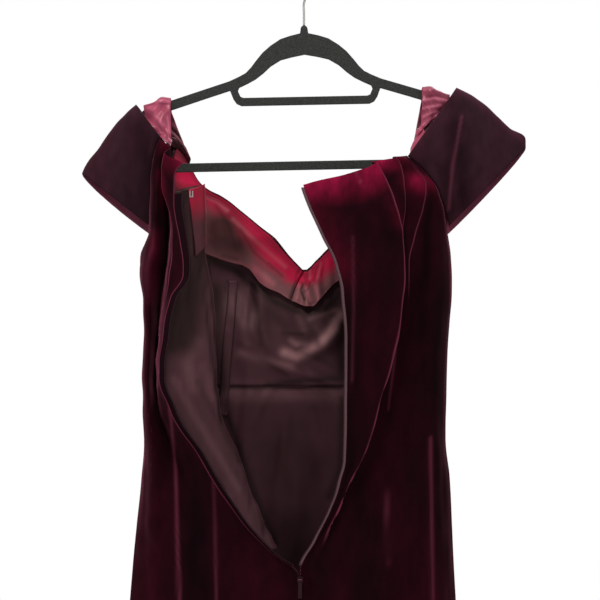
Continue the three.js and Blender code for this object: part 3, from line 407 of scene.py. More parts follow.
def curve(rows, key, column):
    """A smooth value from one column of a table, held at both ends."""
    order = np.argsort(rows[key])
    at, value = rows[key][order], rows[column][order]
    rise = np.diff(value) / np.diff(at)
    slope = np.concatenate([rise[:1], np.zeros(len(rise) - 1), rise[-1:]])
    same = rise[:-1] * rise[1:] > 0
    both = np.where(same, rise[:-1] + rise[1:], 1.0)
    slope[1:-1] = np.where(same, 2 * rise[:-1] * rise[1:] / both, 0.0)

    def value_at(t):
        x = np.clip(np.asarray(t, float), at[0], at[-1])
        i = np.clip(np.searchsorted(at, x, side="left") - 1, 0, len(at) - 2)
        h = at[i + 1] - at[i]
        s = (x - at[i]) / h
        a = value[i] + slope[i] * h * s
        b = value[i + 1] - slope[i + 1] * h * (1 - s)
        return mix(a, b, s * s * (3 - 2 * s))

    return value_at


def through(points, t):
    """Points on smooth lines through control points, each an array (..., 3), at shares t."""
    control = np.stack(np.broadcast_arrays(*points))
    count = len(control)
    control = np.concatenate([[2 * control[0] - control[1]], control, [2 * control[-1] - control[-2]]])
    at = unit(np.broadcast_to(t, control.shape[1:-1])) * (count - 1)
    i = np.clip(np.floor(at).astype(int), 0, count - 2)
    s = (at - i)[..., None]
    p = [np.take_along_axis(control, (i + k)[None, ..., None], 0)[0] for k in range(4)]
    d = [np.maximum(np.linalg.norm(p[k + 1] - p[k], axis=-1, keepdims=True), 1e-6) ** 0.5 for k in range(3)]
    m1 = ((p[1] - p[0]) / d[0] - (p[2] - p[0]) / (d[0] + d[1]) + (p[2] - p[1]) / d[1]) * d[1]
    m2 = ((p[2] - p[1]) / d[1] - (p[3] - p[1]) / (d[1] + d[2]) + (p[3] - p[2]) / d[2]) * d[1]
    c2 = -3 * p[1] + 3 * p[2] - 2 * m1 - m2
    c3 = 2 * p[1] - 2 * p[2] + m1 + m2
    return p[1] + s * m1 + c2 * s ** 2 + c3 * s ** 3


def resample(rows, at, places):
    """Rows of an array, read off at places between them."""
    columns = rows.reshape(len(rows), -1).T
    return np.stack([np.interp(places, at, column) for column in columns], -1).reshape(-1, *rows.shape[1:])


def run(points, axis=0):
    """How far along its line each point lies."""
    steps = np.linalg.norm(np.diff(points, axis=axis), axis=-1)
    return np.concatenate([0 * steps.take([0], axis), np.cumsum(steps, axis)], axis)


def point(x, y, z):
    return np.stack(np.broadcast_arrays(x, y, z), axis=-1).astype(float)


def creased(rows, x, z):
    """How far a table's creases move a surface at x and z."""
    total = np.zeros(np.broadcast(x, z).shape)
    for crease_x, crease_z, lean, long, wide, depth in zip(*rows.values()):
        size = math.hypot(1, lean)
        dx, dz = x - crease_x, z - crease_z
        cross, along = (dx - lean * dz) / size, (dz + lean * dx) / size
        total = total + depth * bell(cross / wide) * bell(along / long)
    return total


def rumple(x, z, size, depth, seed):
    """Soft unevenness of hanging cloth: a few long waves, none alike."""
    rng = np.random.default_rng(seed)
    total = np.zeros(np.broadcast(x, z).shape)
    for _ in range(7):
        angle = rng.normal(0, 0.35)
        length = size * rng.uniform(0.5, 1.6)
        wave = (x * math.cos(angle) + z * math.sin(angle)) / length * 2 * math.pi
        drift = np.sin(z / (size * rng.uniform(3, 6)) + rng.uniform(0, 6))
        total = total + np.sin(wave + 1.5 * drift + rng.uniform(0, 6)) * rng.uniform(0.4, 1)
    return total * depth / 3


def skirt_fold(folds, x, z):
    """Depth of the skirt's folds, which grow and spread towards the hem."""
    down = unit((ZIP_END - z) / (ZIP_END - HEM))
    depth = sum(deep * bell((x - mix(top_x, hem_x, down)) / width)
                for top_x, hem_x, width, deep in zip(*folds.values()))
    return depth * unit((FOLD_START - z) / (FOLD_START - HEM)) ** 0.8


# ------------------------------------------------------------------ surfaces of the dress

body = {name: curve(BODY, "z", name) for name in ("left", "right", "front")}
neckline = curve(NECKLINE, "share", "z")
left_back_top = curve(LEFT_BACK_TOP, "across", "z")


def side_edge(panel, z):
    """x and y of a panel's side edge: the side seam, and above the underarm the armhole seam."""
    side = "left" if panel.endswith("Left") else "right"
    rise = (z - UNDERARM) / (ARMHOLE_TOP[panel] - UNDERARM)
    above = z > UNDERARM
    x = np.where(above, curve(ARMHOLE, "rise", panel)(rise), body[side](z))
    off = np.where(above, curve(ARMHOLE, "rise", "open")(rise), -SEAM_LAP)
    return x, -off if panel.startswith("back") else off


def share(u):
    """Share of the front's width at one of its columns, which lie closer together at its sides."""
    return (1 - np.cos(np.pi * u)) / 2


def unshare(s):
    return np.arccos(1 - 2 * s) / np.pi


def front_point(u, z):
    left, left_y = side_edge("frontLeft", z)
    right, right_y = side_edge("frontRight", z)
    x = mix(left, right, share(u))
    arc = np.sin(np.pi * unit(u)) ** 0.8
    y = mix(mix(left_y, right_y, share(u)), body["front"](z), arc)
    cup = np.hypot((np.abs(x - BUST["middle"]) - BUST["x"]) / BUST["wide"], (z - BUST["z"]) / BUST["high"])
    return point(x, y + BUST["depth"] * bell(cup) * arc + skirt_fold(FRONT_FOLDS, x, z) * arc, z)


def inward_normal(u, z):
    right = front_point(unit(u + 0.006), z) - front_point(unit(u - 0.006), z)
    up = front_point(u, z + 2) - front_point(u, z - 2)
    normal = direction(np.cross(up, right))
    return normal * np.where(normal[..., 1:2] > 0, -1, 1)


def table_points(rows, names, z):
    return [point(*(curve(rows, "z", name + axis)(z) for axis in "XY"), z) for name in names.split()]


def back_surface(controls, across, z, edge, seam_x):
    """A back through its control lines, with the skirt's folds, closed at the centre below the zip."""
    p = through(controls, across)
    p[..., 1] -= skirt_fold(BACK_FOLDS, p[..., 0], z) * np.sin(np.pi * across) ** 0.5
    p[..., 0] = np.where((across == edge) & (z <= ZIP_END), seam_x, p[..., 0])
    return p


def left_back_point(across, z):
    lines = table_points(LEFT_BACK, "fold valley lap edge", z)
    side = point(*side_edge("backLeft", z), z)
    turn = mix(side, lines[0], 0.5) + [-3.5, 0, 0]
    return back_surface([side, turn, *lines], across, z, 1, CENTRE_BACK + SEAM_LAP)


def right_back_point(across, z):
    edge, *pleats = table_points(RIGHT_BACK, "edge a au b bu c outer", z)
    side = point(*side_edge("backRight", z), z)
    middle = mix(edge, pleats[0], 0.55) + [0, 3, 0]
    bulge = 3 * unit((ARMHOLE_TOP["backRight"] - z) / 100)
    turn = mix(pleats[-1], side, 0.6) + point(bulge, -bulge, 0)
    return back_surface([edge, middle, *pleats, turn, side], across, z, 0, CENTRE_BACK - SEAM_LAP)


def crescent(x, z):
    """A curved ridge where the lining sags round under the bust."""
    dx, dz = x - CRESCENT["x"], z - CRESCENT["z"]
    angle = np.degrees(np.arctan2(dz, dx))
    on = unit((angle - CRESCENT["from"]) / 25) * unit((CRESCENT["to"] - angle) / 20)
    return CRESCENT["depth"] * bell((np.hypot(dx, dz) - CRESCENT["radius"]) / CRESCENT["wide"]) * on


def fine_lining(x, z):
    waist_band = WAIST_BAND["depth"] * bell((z - WAIST_BAND["z"]) / WAIST_BAND["high"])
    return creased(FINE_LINING, x, z) + rumple(x, z, 42, 0.9, 11) + crescent(x, z) + waist_band


def lining_inset(x, z, least, fade=1):
    """How far inside the front's middle its lining lies, with fine creases no deeper than least."""
    free = unit((neckline(NECK_POINT) - 20 - z) / 60)
    inset = VELVET / 2 + LAY_GAP + SEAM_GAP + SATIN / 2 + 5 * free
    return inset + creased(LINING_CREASES, x, z) + np.maximum(fine_lining(x, z), least) * fade


def left_lining_point(across, z):
    edge, before = (left_back_point(np.full_like(z, place), z) for place in (0.96, 0.88))
    away = direction(point(before[..., 1] - edge[..., 1], edge[..., 0] - before[..., 0], 0 * z))
    start = edge + away * (VELVET / 2 + 2 * LAY_GAP + SATIN / 2)
    return through([start, *table_points(LEFT_LINING, "fold inner end", z)], across)


# ------------------------------------------------------------------ meshes


def grid_normals(grid):
    return direction(np.cross(np.gradient(grid, axis=1), np.gradient(grid, axis=0)))


def square_to(axis):
    """A turn for the normals of a wall's edge, so that it ends square to x (0) or y (1)."""
    def turned(_, normal):
        out = normal * [0, 0, 1]
        out[..., axis] = np.where(normal[..., axis] < 0, -1, 1)
        return direction(out)
    return turned


square_x, square_y = square_to(0), square_to(1)


def side_seam(points, normal):
    above = points[..., 2:] > UNDERARM
    return np.where(above, square_y(points, normal), square_x(points, normal))


def centre_seam(points, normal):
    return np.where(points[..., 2:] <= ZIP_END, square_y(points, normal), normal)


def add(name, data):
    obj = bpy.data.objects.new(name, data)
    bpy.context.scene.collection.objects.link(obj)
    return obj


def make(name, points, faces, look, node=None, smooth=True):
    """A visible piece from points in mm. look is its material and the name of a slot, which is not used; node
    the solid it stands for.
    """
    mesh = bpy.data.meshes.new(name)
    mesh.from_pydata((np.asarray(points) * MM).tolist(), [], faces)
    mesh.polygons.foreach_set("use_smooth", [smooth] * len(mesh.polygons))
    mesh.update()
    obj = add(name, mesh)
    mesh.materials.append(look[0])
    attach(obj, BODY_NAME)
    if node:
        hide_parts(node)
    return obj


def cloth(name, node, grid, thickness, look, marks, ends=(None, None), **cut):
    rows, cols = grid.shape[:2]
    normals = grid_normals(grid)
    for column, end in zip((0, -1), ends):
        if end:
            normals[:, column] = end(grid[:, column], normals[:, column])
    points = np.concatenate([(grid + normals * side * thickness / 2).reshape(-1, 3) for side in (1, -1)])
    under = rows * cols
    index = np.arange(under).reshape(rows, cols)
    a, b, c, d = (part.ravel() for part in (index[:-1, :-1], index[:-1, 1:], index[1:, 1:], index[1:, :-1]))
    rim = np.concatenate([index[0, :-1], index[:-1, -1], index[-1, :0:-1], index[:0:-1, 0]])
    after = np.roll(rim, -1)
    sides = (a, b, c, d), (a + under, d + under, c + under, b + under)
    quads = [np.stack(quad, -1) for quad in (*sides, (rim, rim + under, after + under, after))]
    obj = make(name, points, np.concatenate(quads).tolist(), look, node)
    for mark, values in marks.items():
        layer = obj.data.attributes.new(mark, "FLOAT", "POINT")
        layer.data.foreach_set("value", np.broadcast_to(values, (2, rows, cols)).ravel())


def rods(name, rings, look, node=None, smooth=True):
    """Closed rods, each a run of rings of points: rings[rod, step, side]."""
    count, steps, sides, _ = rings.shape
    last = (steps - 1) * sides
    faces = [[i + k, i + (k + 1) % sides, i + sides + (k + 1) % sides, i + sides + k]
             for i in range(0, last, sides) for k in range(sides)]
    faces += [list(range(sides))[::-1], list(range(last, last + sides))]
    starts = range(0, count * steps * sides, steps * sides)
    return make(name, rings.reshape(-1, 3), [[start + k for k in face] for start in starts for face in faces],
                look, node, smooth)


def spaced(low, high, spacing):
    return np.linspace(low, high, max(1, round(abs(high - low) / spacing)) + 1)


def panel_heights(columns, top, upper_rows, levels):
    """Heights of a panel's grid: level rows, then rows that turn into its top edge."""
    rise = np.linspace(0, 1, upper_rows + 1)[1:, None]
    return np.concatenate([np.repeat(levels[:, None], len(columns), 1), mix(UNDERARM, top(columns), rise)])


def displaced(grid, amount):
    """Moves a grid along its normals, with its side columns kept where the seams need them."""
    t = np.linspace(0, 1, grid.shape[1])
    return grid + grid_normals(grid) * (amount * unit(t * 14) * unit((1 - t) * 14))[..., None]


# ------------------------------------------------------------------ marks


def fold_line(grid, columns, place, width):
    """1 along the fold at one share of a panel's width, falling off with the distance along the cloth."""
    along = run(grid, 1)
    at = np.array([np.interp(place, columns, row) for row in along])
    return bell((along - at[:, None]) / width)


def near_line(grid, line, width):
    """1 near a line of (x, z) points, falling off with the distance from it."""
    place = grid[..., [0, 2]][..., None, :]
    a, way = line[:-1], np.diff(line, axis=0)
    t = unit(((place - a) * way).sum(-1) / (way ** 2).sum(-1))
    return bell(np.linalg.norm(place - a - t[..., None] * way, axis=-1).min(-1) / width)


def soft_lines(name, grid):
    """Every line of one list as a soft mark over a grid."""
    for row in LINES[name].split(";"):
        width, strength, *line = numbers(row, 1)[:, 0]
        yield near_line(grid, np.reshape(line, (-1, 2)), width) * strength


def line_marks(name, grid):
    """The strongest of one list's lines at every point of a grid."""
    return np.maximum.reduce([np.zeros(grid.shape[:2]), *soft_lines(name, grid)])


def lit_and_shade(name, grid):
    return {mark: line_marks(f"{name} {mark}", grid) for mark in ("shade", "lit")}


def fold_marks(name, grid, columns, controls, fade, marks):
    """The strongest of marks and one list's fold marks at every point of a back."""
    z = grid[..., 2]
    for control, width, low, high, strength in numbers(FOLD_MARKS[name], 5):
        reach = unit((z - low) / fade) * unit((high - z) / fade)
        marks = np.maximum(marks, fold_line(grid, columns, control / controls, width) * reach * strength)
    return marks


# ------------------------------------------------------------------ materials

VELVET_DARK = (0.0065, 0.001, 0.0021, 1)
VELVET_RED = (0.030, 0.0018, 0.0062, 1)
VELVET_SHEEN = (0.62, 0.15, 0.25, 1)
VELVET_LIT = (0.20, 0.035, 0.065, 1)
VELVET_SHADE = (0.0015, 0.0004, 0.0006, 1)
# the sleeves' velvet is a lit copy of the dress velvet: painted lighter plum for the top light on their
# upturned pile
SLEEVE_LIT_DARK = (0.029, 0.0118, 0.0165, 1)
SLEEVE_LIT_RED = (0.054, 0.0125, 0.0215, 1)
SLEEVE_LIT_SHEEN = (0.6, 0.32, 0.38, 1)
# pink of the front half's own inside, and the painted highlight of the sleeves' lit lines
SLEEVE_INSIDE_AND_HIGHLIGHT = (0.20, 0.045, 0.075, 1)
# painted crimson glow where top light falls on the velvet
PAINTED_GLOW_CRIMSON = (0.25, 0.005, 0.036, 1)
# the facings' painted light: lit crimson where top light falls in at the neckline, mauve farther in and lower
# down
FACING_LIT_RED = (0.62, 0.009, 0.062, 1)
FACING_MAUVE = (0.16, 0.06, 0.066, 1)
FACING_SHADE = (0.045, 0.012, 0.014, 1)
FACING_LIT = (0.62, 0.17, 0.21, 1)
FACING_POCKET = (0.10, 0.03, 0.042, 1)
NECK_DARK = (0.05, 0.012, 0.018, 1)
STRAP_PINK = (0.45, 0.075, 0.14, 1)
STRAP_FRONT_SHADE = (0.14, 0.05, 0.062, 1)
STRAP_SHADE = (0.10, 0.014, 0.03, 1)
STRAP_LIT = (0.72, 0.20, 0.30, 1)
LINING_BROWN = (0.040, 0.0145, 0.0205, 1)
LINING_SHADE = (0.005, 0.0025, 0.003, 1)
LINING_LIT = (0.23, 0.11, 0.115, 1)
WARM_GLOSS = (0.95, 0.55, 0.5, 1)
TAPE_SHADED = (0.011, 0.004, 0.006, 1)
TAPE_LIT_PLUM = (0.12, 0.065, 0.073, 1)
FLOCK_BLACK = (0.027, 0.027, 0.0255, 1)
STEEL = (0.62, 0.62, 0.58, 1)
ZIP_PAINT = (0.06, 0.025, 0.032, 1)
TEETH_PAINT = (0.05, 0.025, 0.03, 1)
FLOOR_DARK = (0.72, 0.72, 0.71, 1)
FLOOR_LIGHT = (0.78, 0.78, 0.77, 1)


def grey(value):
    return value, value, value, 1


def scaled(colour, by):
    return (*(c * by for c in colour[:3]), 1)


class Look:
    """A material's node tree, with short calls for the nodes that these materials share."""

    def __init__(self, name, **sockets):
        self.material = bpy.data.materials.new(name)
        self.material.use_nodes = True
        self.tree = self.material.node_tree
        self.shader = self.tree.nodes["Principled BSDF"]
        for key, value in sockets.items():
            self.shader.inputs[key.replace("_", " ")].default_value = value
        self.coords = self.node("ShaderNodeTexCoord", {})["Object"]

    def node(self, kind, inputs, **settings):
        """The outputs of a new node, whose inputs are given as values or as sockets to link."""
        made = self.tree.nodes.new(kind)
        for key, value in settings.items():
            setattr(made, key, value)
        for key, value in inputs.items():
            if isinstance(value, bpy.types.NodeSocket):
                self.tree.links.new(value, made.inputs[key])
            else:
                made.inputs[key].default_value = value
        return made.outputs

    def paint(self, source, socket="Base Color"):
        self.tree.links.new(source, self.shader.inputs[socket])

    def noise(self, scale, stretch=(1, 1, 1), detail=3.0, roughness=0.55):
        place = self.node("ShaderNodeMapping", {"Scale": stretch, "Vector": self.coords})["Vector"]
        return self.node("ShaderNodeTexNoise", {"Scale": scale, "Detail": detail, "Roughness": roughness,
                                                "Vector": place})["Fac"]

    def ramp(self, source, low, high):
        made = self.tree.nodes.new("ShaderNodeValToRGB")
        for element, (place, colour) in zip(made.color_ramp.elements, (low, high)):
            element.position = place
            element.color = colour
        self.tree.links.new(source, made.inputs["Fac"])
        return made.outputs["Color"]

    def math(self, operation, *values, clamp=False):
        return self.node("ShaderNodeMath", dict(enumerate(values)), operation=operation, use_clamp=clamp)[0]

    def scaled(self, source, gain, offset):
        return self.math("MULTIPLY_ADD", source, gain, offset)

    def blend(self, factor, a, b, kind="MIX"):
        return self.node("ShaderNodeMix", {0: factor, 6: a, 7: b}, data_type="RGBA", blend_type=kind)[2]

    def mark(self, name):
        return self.node("ShaderNodeAttribute", {}, attribute_name=name)["Fac"]

    def marked(self, name, uneven, colour, to):
        """Turns a colour to another where the piece's own mark says so, a little unevenly."""
        return self.blend(self.math("MULTIPLY", self.mark(name), uneven, clamp=True), colour, to)

    def near(self, place, radius):
        """1 at a place in the part's frame, falling to 0 at the radius."""
        distance = self.node("ShaderNodeVectorMath", {0: self.coords, 1: [v * MM for v in place]},
                             operation="DISTANCE")["Value"]
        return self.math("SUBTRACT", 1.0, self.math("DIVIDE", distance, radius * MM), clamp=True)

    def slope(self, way, start, end):
        """0 to 1 as the place, measured along a direction in mm, goes from start to end."""
        dot = self.node("ShaderNodeVectorMath", {0: self.coords, 1: way}, operation="DOT_PRODUCT")["Value"]
        size = (end - start) * MM
        return self.math("MULTIPLY_ADD", dot, 1 / size, -start * MM / size, clamp=True)

    def bump(self, height, distance, strength=1.0):
        inputs = {"Distance": distance * MM, "Strength": strength, "Height": height}
        before = self.shader.inputs["Normal"].links
        if before:
            inputs["Normal"] = before[0].from_socket
        self.paint(self.node("ShaderNodeBump", inputs)["Normal"], "Normal")


def velvet(name, colours=(VELVET_DARK, VELVET_RED), sheen=(0.32, VELVET_SHEEN), lit=VELVET_LIT):
    """Velvet pile: dark body, red streaks in its pile, a soft sheen at grazing angles. The piece's own
    marks say where a crimson glow of top light is painted on, and where folds get painted shade and where
    painted highlights."""
    look = Look(name, Roughness=0.85, Sheen_Weight=sheen[0], Sheen_Roughness=0.3, Sheen_Tint=sheen[1],
                Specular_IOR_Level=0.04)
    colour = look.ramp(look.noise(9, (1, 1, 0.22), 4.0, 0.6), (0.38, colours[0]), (0.72, colours[1]))
    # painted crimson glow of top light, where the piece's glow mark says
    colour = look.marked("painted_glow", look.scaled(look.noise(30, (1, 1, 0.5)), 2.8, -0.4), colour, PAINTED_GLOW_CRIMSON)
    mottle = look.ramp(look.noise(60, (1, 1, 0.5)), (0.3, grey(0.7)), (0.75, grey(1.15)))
    colour = look.blend(1.0, colour, mottle, "MULTIPLY")
    colour = look.blend(look.mark("shade"), colour, VELVET_SHADE)
    uneven = look.scaled(look.noise(22, (1, 1, 0.4), 2.0), 0.6, 0.5)
    look.paint(look.marked("lit", uneven, colour, lit))
    look.bump(look.noise(900, (1, 1, 0.6), 2.0), 0.35, 0.5)
    look.bump(look.noise(45, (1, 1, 0.4)), 0.8, 0.35)
    return look.material, "velvet"


def satin(name, slot, colours, gloss, level, fades=(), spots=(), shade=LINING_SHADE, lit=LINING_LIT):
    """Satin: a close weave, a broad gloss and soft uneven tone. fades lists (way, start, end, colour)
    of directions, in mm, along which the cloth turns to another colour, here mostly painted light and shade,
    and spots lists (place, radius, strength, colour), here mostly painted shade and light. shade and lit are
    the colours that the piece's own marks turn it to."""
    look = Look(name, Roughness=gloss, Specular_IOR_Level=level, Specular_Tint=WARM_GLOSS,
                Sheen_Weight=0.1, Sheen_Roughness=0.4, Sheen_Tint=WARM_GLOSS)
    colour = look.ramp(look.noise(13, (1, 1, 0.6)), (0.35, colours[0]), (0.66, colours[1]))
    rough_edge = look.scaled(look.noise(30), 0.9, -0.45)
    for way, start, end, tint in fades:
        share_in = look.math("ADD", look.slope(way, start, end), rough_edge, clamp=True)
        share_in = look.math("MULTIPLY", share_in, look.slope(way, start - 6, start + 4))
        colour = look.blend(share_in, colour, tint)
    for place, radius, strength, tint in spots:
        spot = look.math("MULTIPLY", look.near(place, radius), strength, clamp=True)
        colour = look.blend(spot, colour, tint)
    colour = look.marked("lit", look.scaled(look.noise(34), 1.1, 0.35), colour, lit)
    look.paint(look.blend(look.mark("shade"), colour, shade))
    look.bump(look.noise(1600, (1, 1, 0.25), 1.0), 0.12, 0.2)
    look.bump(look.noise(34, (1, 1, 0.7), 2.5), 0.8, 0.25)
    look.paint(look.scaled(look.noise(80, detail=2.0), 0.13, gloss - 0.05), "Roughness")
    return look.material, slot


def tape_look(name, colour):
    look = Look(name, Roughness=0.9, Specular_IOR_Level=0.0)
    rib = look.node("ShaderNodeTexWave", {"Scale": 420, "Vector": look.coords}, bands_direction="Z")["Fac"]
    look.paint(look.ramp(rib, (0.2, scaled(colour, 0.7)), (0.8, scaled(colour, 1.25))))
    look.bump(rib, 0.15, 0.6)
    return look.material, "zip_tape"


def flock_look():
    look = Look("flock", Roughness=1.0, Sheen_Weight=0.35, Sheen_Roughness=0.5, Specular_IOR_Level=0.1)
    grain = look.noise(700, detail=2.0)
    look.paint(look.ramp(grain, (0.3, scaled(FLOCK_BLACK, 0.6)), (0.75, scaled(FLOCK_BLACK, 1.8))))
    look.bump(grain, 0.3, 0.7)
    look.bump(look.noise(60, detail=2.0), 0.4, 0.3)
    return look.material, "flock"


def metal_look(name, slot, colour, roughness):
    look = Look(name, Metallic=1.0)
    smear = look.noise(140, (1, 1, 0.2))
    look.paint(look.ramp(smear, (0.3, scaled(colour, 0.8)), (0.7, colour)))
    look.paint(look.scaled(smear, 0.15, roughness), "Roughness")
    look.bump(smear, 0.05, 0.3)
    return look.material, slot


def floor_look():
    look = Look("floor_paint", Roughness=0.7)
    look.paint(look.ramp(look.noise(6), (0.3, FLOOR_DARK), (0.7, FLOOR_LIGHT)))
    return look.material


DOWN, FORWARD = (0, 0, -1), (0, 1, 0)
# across each half of the neckline, from its edge into the facing, and where the edge lies along that, for the
# facings' painted light
NECK_WAYS = {"left": ((-0.678, 0, -0.735), 281.2), "right": ((0.65, 0, -0.76), 289.7)}
# painted shade on the facings' left part, a brown-mauve spot at the top left, and a painted crimson pool of
# light inside the left back's neck
FACING_SPOTS = [((-104, 25, -331), 36, 1.5, FACING_SHADE), ((-86, 30, -352), 32, 1.0, FACING_SHADE),
                ((-150, 8, -234), 26, 1.6, FACING_POCKET), ((-147, 12, -268), 25, 1.5, FACING_LIT_RED)]
velvet_plain = velvet("velvet_front")
velvets = {side: velvet("velvet_back_" + side) for side in ("left", "right")}
# a lit copy of the velvet for the sleeves, painted lighter
velvet_sleeve = velvet("velvet_sleeve", (SLEEVE_LIT_DARK, SLEEVE_LIT_RED), (0.45, SLEEVE_LIT_SHEEN), SLEEVE_INSIDE_AND_HIGHLIGHT)
# the front facings: painted lit crimson near the neckline, fading to mauve away from it and lower down
facing_satins = {
    side: satin("facing_satin_" + side, "facing_satin", (scaled(FACING_LIT_RED, 0.7), FACING_LIT_RED), 0.42, 0.3,
                [(way, edge + 17, edge + 33, FACING_MAUVE), (DOWN, 396, 408, FACING_MAUVE)],
                FACING_SPOTS, lit=FACING_LIT)
    for side, (way, edge) in NECK_WAYS.items()
}
# the left back's neck facing: painted lit crimson at the top, darker towards the bottom
neck_satin = satin("back_neck_satin_cloth", "facing_satin",
                   (scaled(FACING_LIT_RED, 0.35), scaled(FACING_LIT_RED, 0.6)), 0.42, 0.3,
                   [(DOWN, 298, 325, NECK_DARK)])
# the straps: pink satin, with painted shade on their front parts
strap_satin = satin("strap_satin_cloth", "strap_satin", (scaled(STRAP_PINK, 0.4), STRAP_PINK), 0.36, 0.4,
                    [(FORWARD, 4, 14, STRAP_FRONT_SHADE)], shade=STRAP_SHADE, lit=STRAP_LIT)
lining_satin = satin("lining_satin_cloth", "lining_satin",
                     (scaled(LINING_BROWN, 0.65), scaled(LINING_BROWN, 1.35)), 0.5, 0.28)
flock = flock_look()
steel = metal_look("steel_wire", "steel", STEEL, 0.22)
zip_metal = metal_look("zip_metal_paint", "zip_metal", ZIP_PAINT, 0.4)
teeth_metal = metal_look("zip_teeth_paint", "zip_metal", TEETH_PAINT, 0.4)

# ------------------------------------------------------------------ velvet pieces


def build_front():
    columns = np.linspace(0, 1, 110)
    levels = np.concatenate([spaced(HEM, SKIRT_ROWS, 10)[:-1], spaced(SKIRT_ROWS, FRONT_ROWS, 6)])
    base, top = UNDERARM - FRONT_DIP * np.sin(np.pi * columns), neckline(share(columns))
    z = np.concatenate([np.repeat(levels[:, None], len(columns), 1),
                        mix(FRONT_ROWS, base, np.linspace(0, 1, 12)[1:, None]),
                        mix(base, top, np.linspace(0, 1, 25)[1:, None])])
    grid = front_point(np.broadcast_to(columns, z.shape), z)
    x = grid[..., 0]
    amount = -(creased(FRONT_CREASES, x, z) + rumple(x, z, 60, 1.0, 5)) * unit((top - z) / 30)
    cloth("velvet_front_panel", "front", displaced(grid, amount), VELVET, velvet_plain, {},
          (side_seam, side_seam), flat=(0.62, 1.34), held="hung", area=0.6)


def panel_columns(count, folds):
    """Even columns, with more of them close to each fold."""
    close = [fold + np.linspace(-0.02, 0.02, 13) for fold in folds]
    columns = np.unique(np.round(np.concatenate([np.linspace(0, 1, count), *close]), 4))
    return columns[(columns >= 0) & (columns <= 1)]


def build_back(side, surface, top, count, folds, controls, creases, seed, ends, painted_glow, area):
    """A back. folds are those of its control lines, counted across to controls, that are folded."""
    columns = panel_columns(count, np.array(folds) / controls)
    levels = np.concatenate([spaced(HEM, SKIRT_ROWS, 9)[:-1], spaced(SKIRT_ROWS, UNDERARM, 5.2)])
    z = panel_heights(columns, top, 24, levels)
    t = np.broadcast_to(columns, z.shape)
    grid = surface(t, z)
    x, below = grid[..., 0], top(t) - z
    amount = (creased(creases, x, z) + rumple(x, z, 38, 0.9, seed)) * unit(below / 25)
    name, plain = "back_" + side, np.zeros_like(x)
    # painted crimson glow of top light, fading down from the top edge and along the back's lines
    strength, depth = (curve(painted_glow, "across", column)(t) for column in ("strength", "depth"))
    marks = {
        "lit": fold_marks(name + " lit", grid, columns, controls, 30, line_marks(name + " lit", grid)),
        "shade": fold_marks(name + " shade", grid, columns, controls, 40, plain),
        "painted_glow": np.maximum(strength * unit(1 - below / depth) ** 1.3, line_marks(name + " nap", grid)),
    }
    cloth(f"velvet_{name}_panel", name, displaced(grid, amount), VELVET, velvets[side],
          {mark: (outer, plain) for mark, outer in marks.items()}, ends,
          flat=(0.36, 1.33), held="hung", area=area)


build_front()
build_back("left", left_back_point, left_back_top, 90, (0, 2, 3, 4, 5), 5, BACK_LEFT_CREASES, 3,
           (side_seam, centre_seam), PAINTED_GLOW_LEFT, 0.285)
build_back("right", right_back_point, curve(RIGHT_BACK_TOP, "across", "z"), 130, (0, 2, 3, 4, 5, 6), 9,
           BACK_RIGHT_CREASES, 8, (centre_seam, side_seam), PAINTED_GLOW_RIGHT, 0.297)


def sleeve_grid(side, fold_rows, creases, seed):
    """A cap sleeve: from its back seam (s = -1) out over the fold at its outer edge to the front seam."""
    out = -1 if side == "Left" else 1
    rise = np.linspace(0, 1, 40)[:, None]
    s = np.linspace(-1, 1, 110)[None, :]
    fold_x, fold_z = curve(fold_rows, "rise", "x")(rise), curve(fold_rows, "rise", "z")(rise)
    low, foot = unit(1 - rise * 6), unit(1 - rise * 3)
    seams = []
    for half, tuck in (("back", 0), ("front", SLEEVE_TUCK)):
        z = mix(UNDERARM, ARMHOLE_TOP[half + side], rise)
        x, y = side_edge(half + side, z + 1e-6)
        x = x + out * (SEAM_CLEAR + low * VELVET / 2 + rise * 2 * SEAM_GAP - tuck * foot)
        seams.append((x, y + np.sign(y) * low * (VELVET / 2 + SEAM_GAP / 2), z))
    back_half = s < 0
    x, y, z = (np.where(back_half, a, b) for a, b in zip(*seams))
    turn = (1 - np.abs(s)) * np.pi / 2
    lens = unit(np.sin(2 * turn))
    drop = np.where(back_half, -BACK_HALF_RAISE * unit(-s) ** 1.5 * foot,
                    FRONT_HALF_DROP * (1 - rise) * lens ** 0.7)
    px, pz = mix(x, fold_x, np.sin(turn)), mix(z, fold_z, np.sin(turn)) - drop
    way = np.where(back_half, -1, 1)
    grid = point(px, y * np.cos(turn) + way * SLEEVE_BULGE * lens ** 0.8, pz)
    normals = grid_normals(grid)
    amount = (creased(creases, px, pz) + rumple(px, pz, 30, 0.7, seed)) * np.where(back_half, 1, 0.6)
    fade = unit((1 - np.abs(s)) * 10) * unit(np.abs(s) * 6)
    return grid + normals * (amount * fade * np.sign(normals[..., 1]) * way)[..., None]


for side, rows, creases, seed, flat, area in (
        ("Left", SLEEVE_LEFT, SLEEVE_LEFT_CREASES, 31, (0.2, 0.16), 0.022),
        ("Right", SLEEVE_RIGHT, SLEEVE_RIGHT_CREASES, 37, (0.26, 0.18), 0.03)):
    grid, node = sleeve_grid(side, rows, creases, seed), "sleeve_" + side.lower()
    plain = np.zeros(grid.shape[:2])
    back_half = plain + np.linspace(-1, 1, grid.shape[1]) < 0
    # painted highlights on the back half; the lit mark also carries the front half's inside, in its own pink
    lit = np.where(back_half, sum(soft_lines(node + " lit", grid)), 0)
    inside = np.where(back_half, 0, 1)       # the front half's inside is seen through the sleeve
    inner_first = grid_normals(grid)[FRONT_HALF_SAMPLE][1] < 0
    cloth("velvet_" + node, node, grid, VELVET, velvet_sleeve,
          {"lit": (lit + inside, plain) if inner_first else (lit, inside),
           "shade": line_marks(node + " shade", grid)},
          (square_y, square_y), flat=flat, held="hung", area=area)

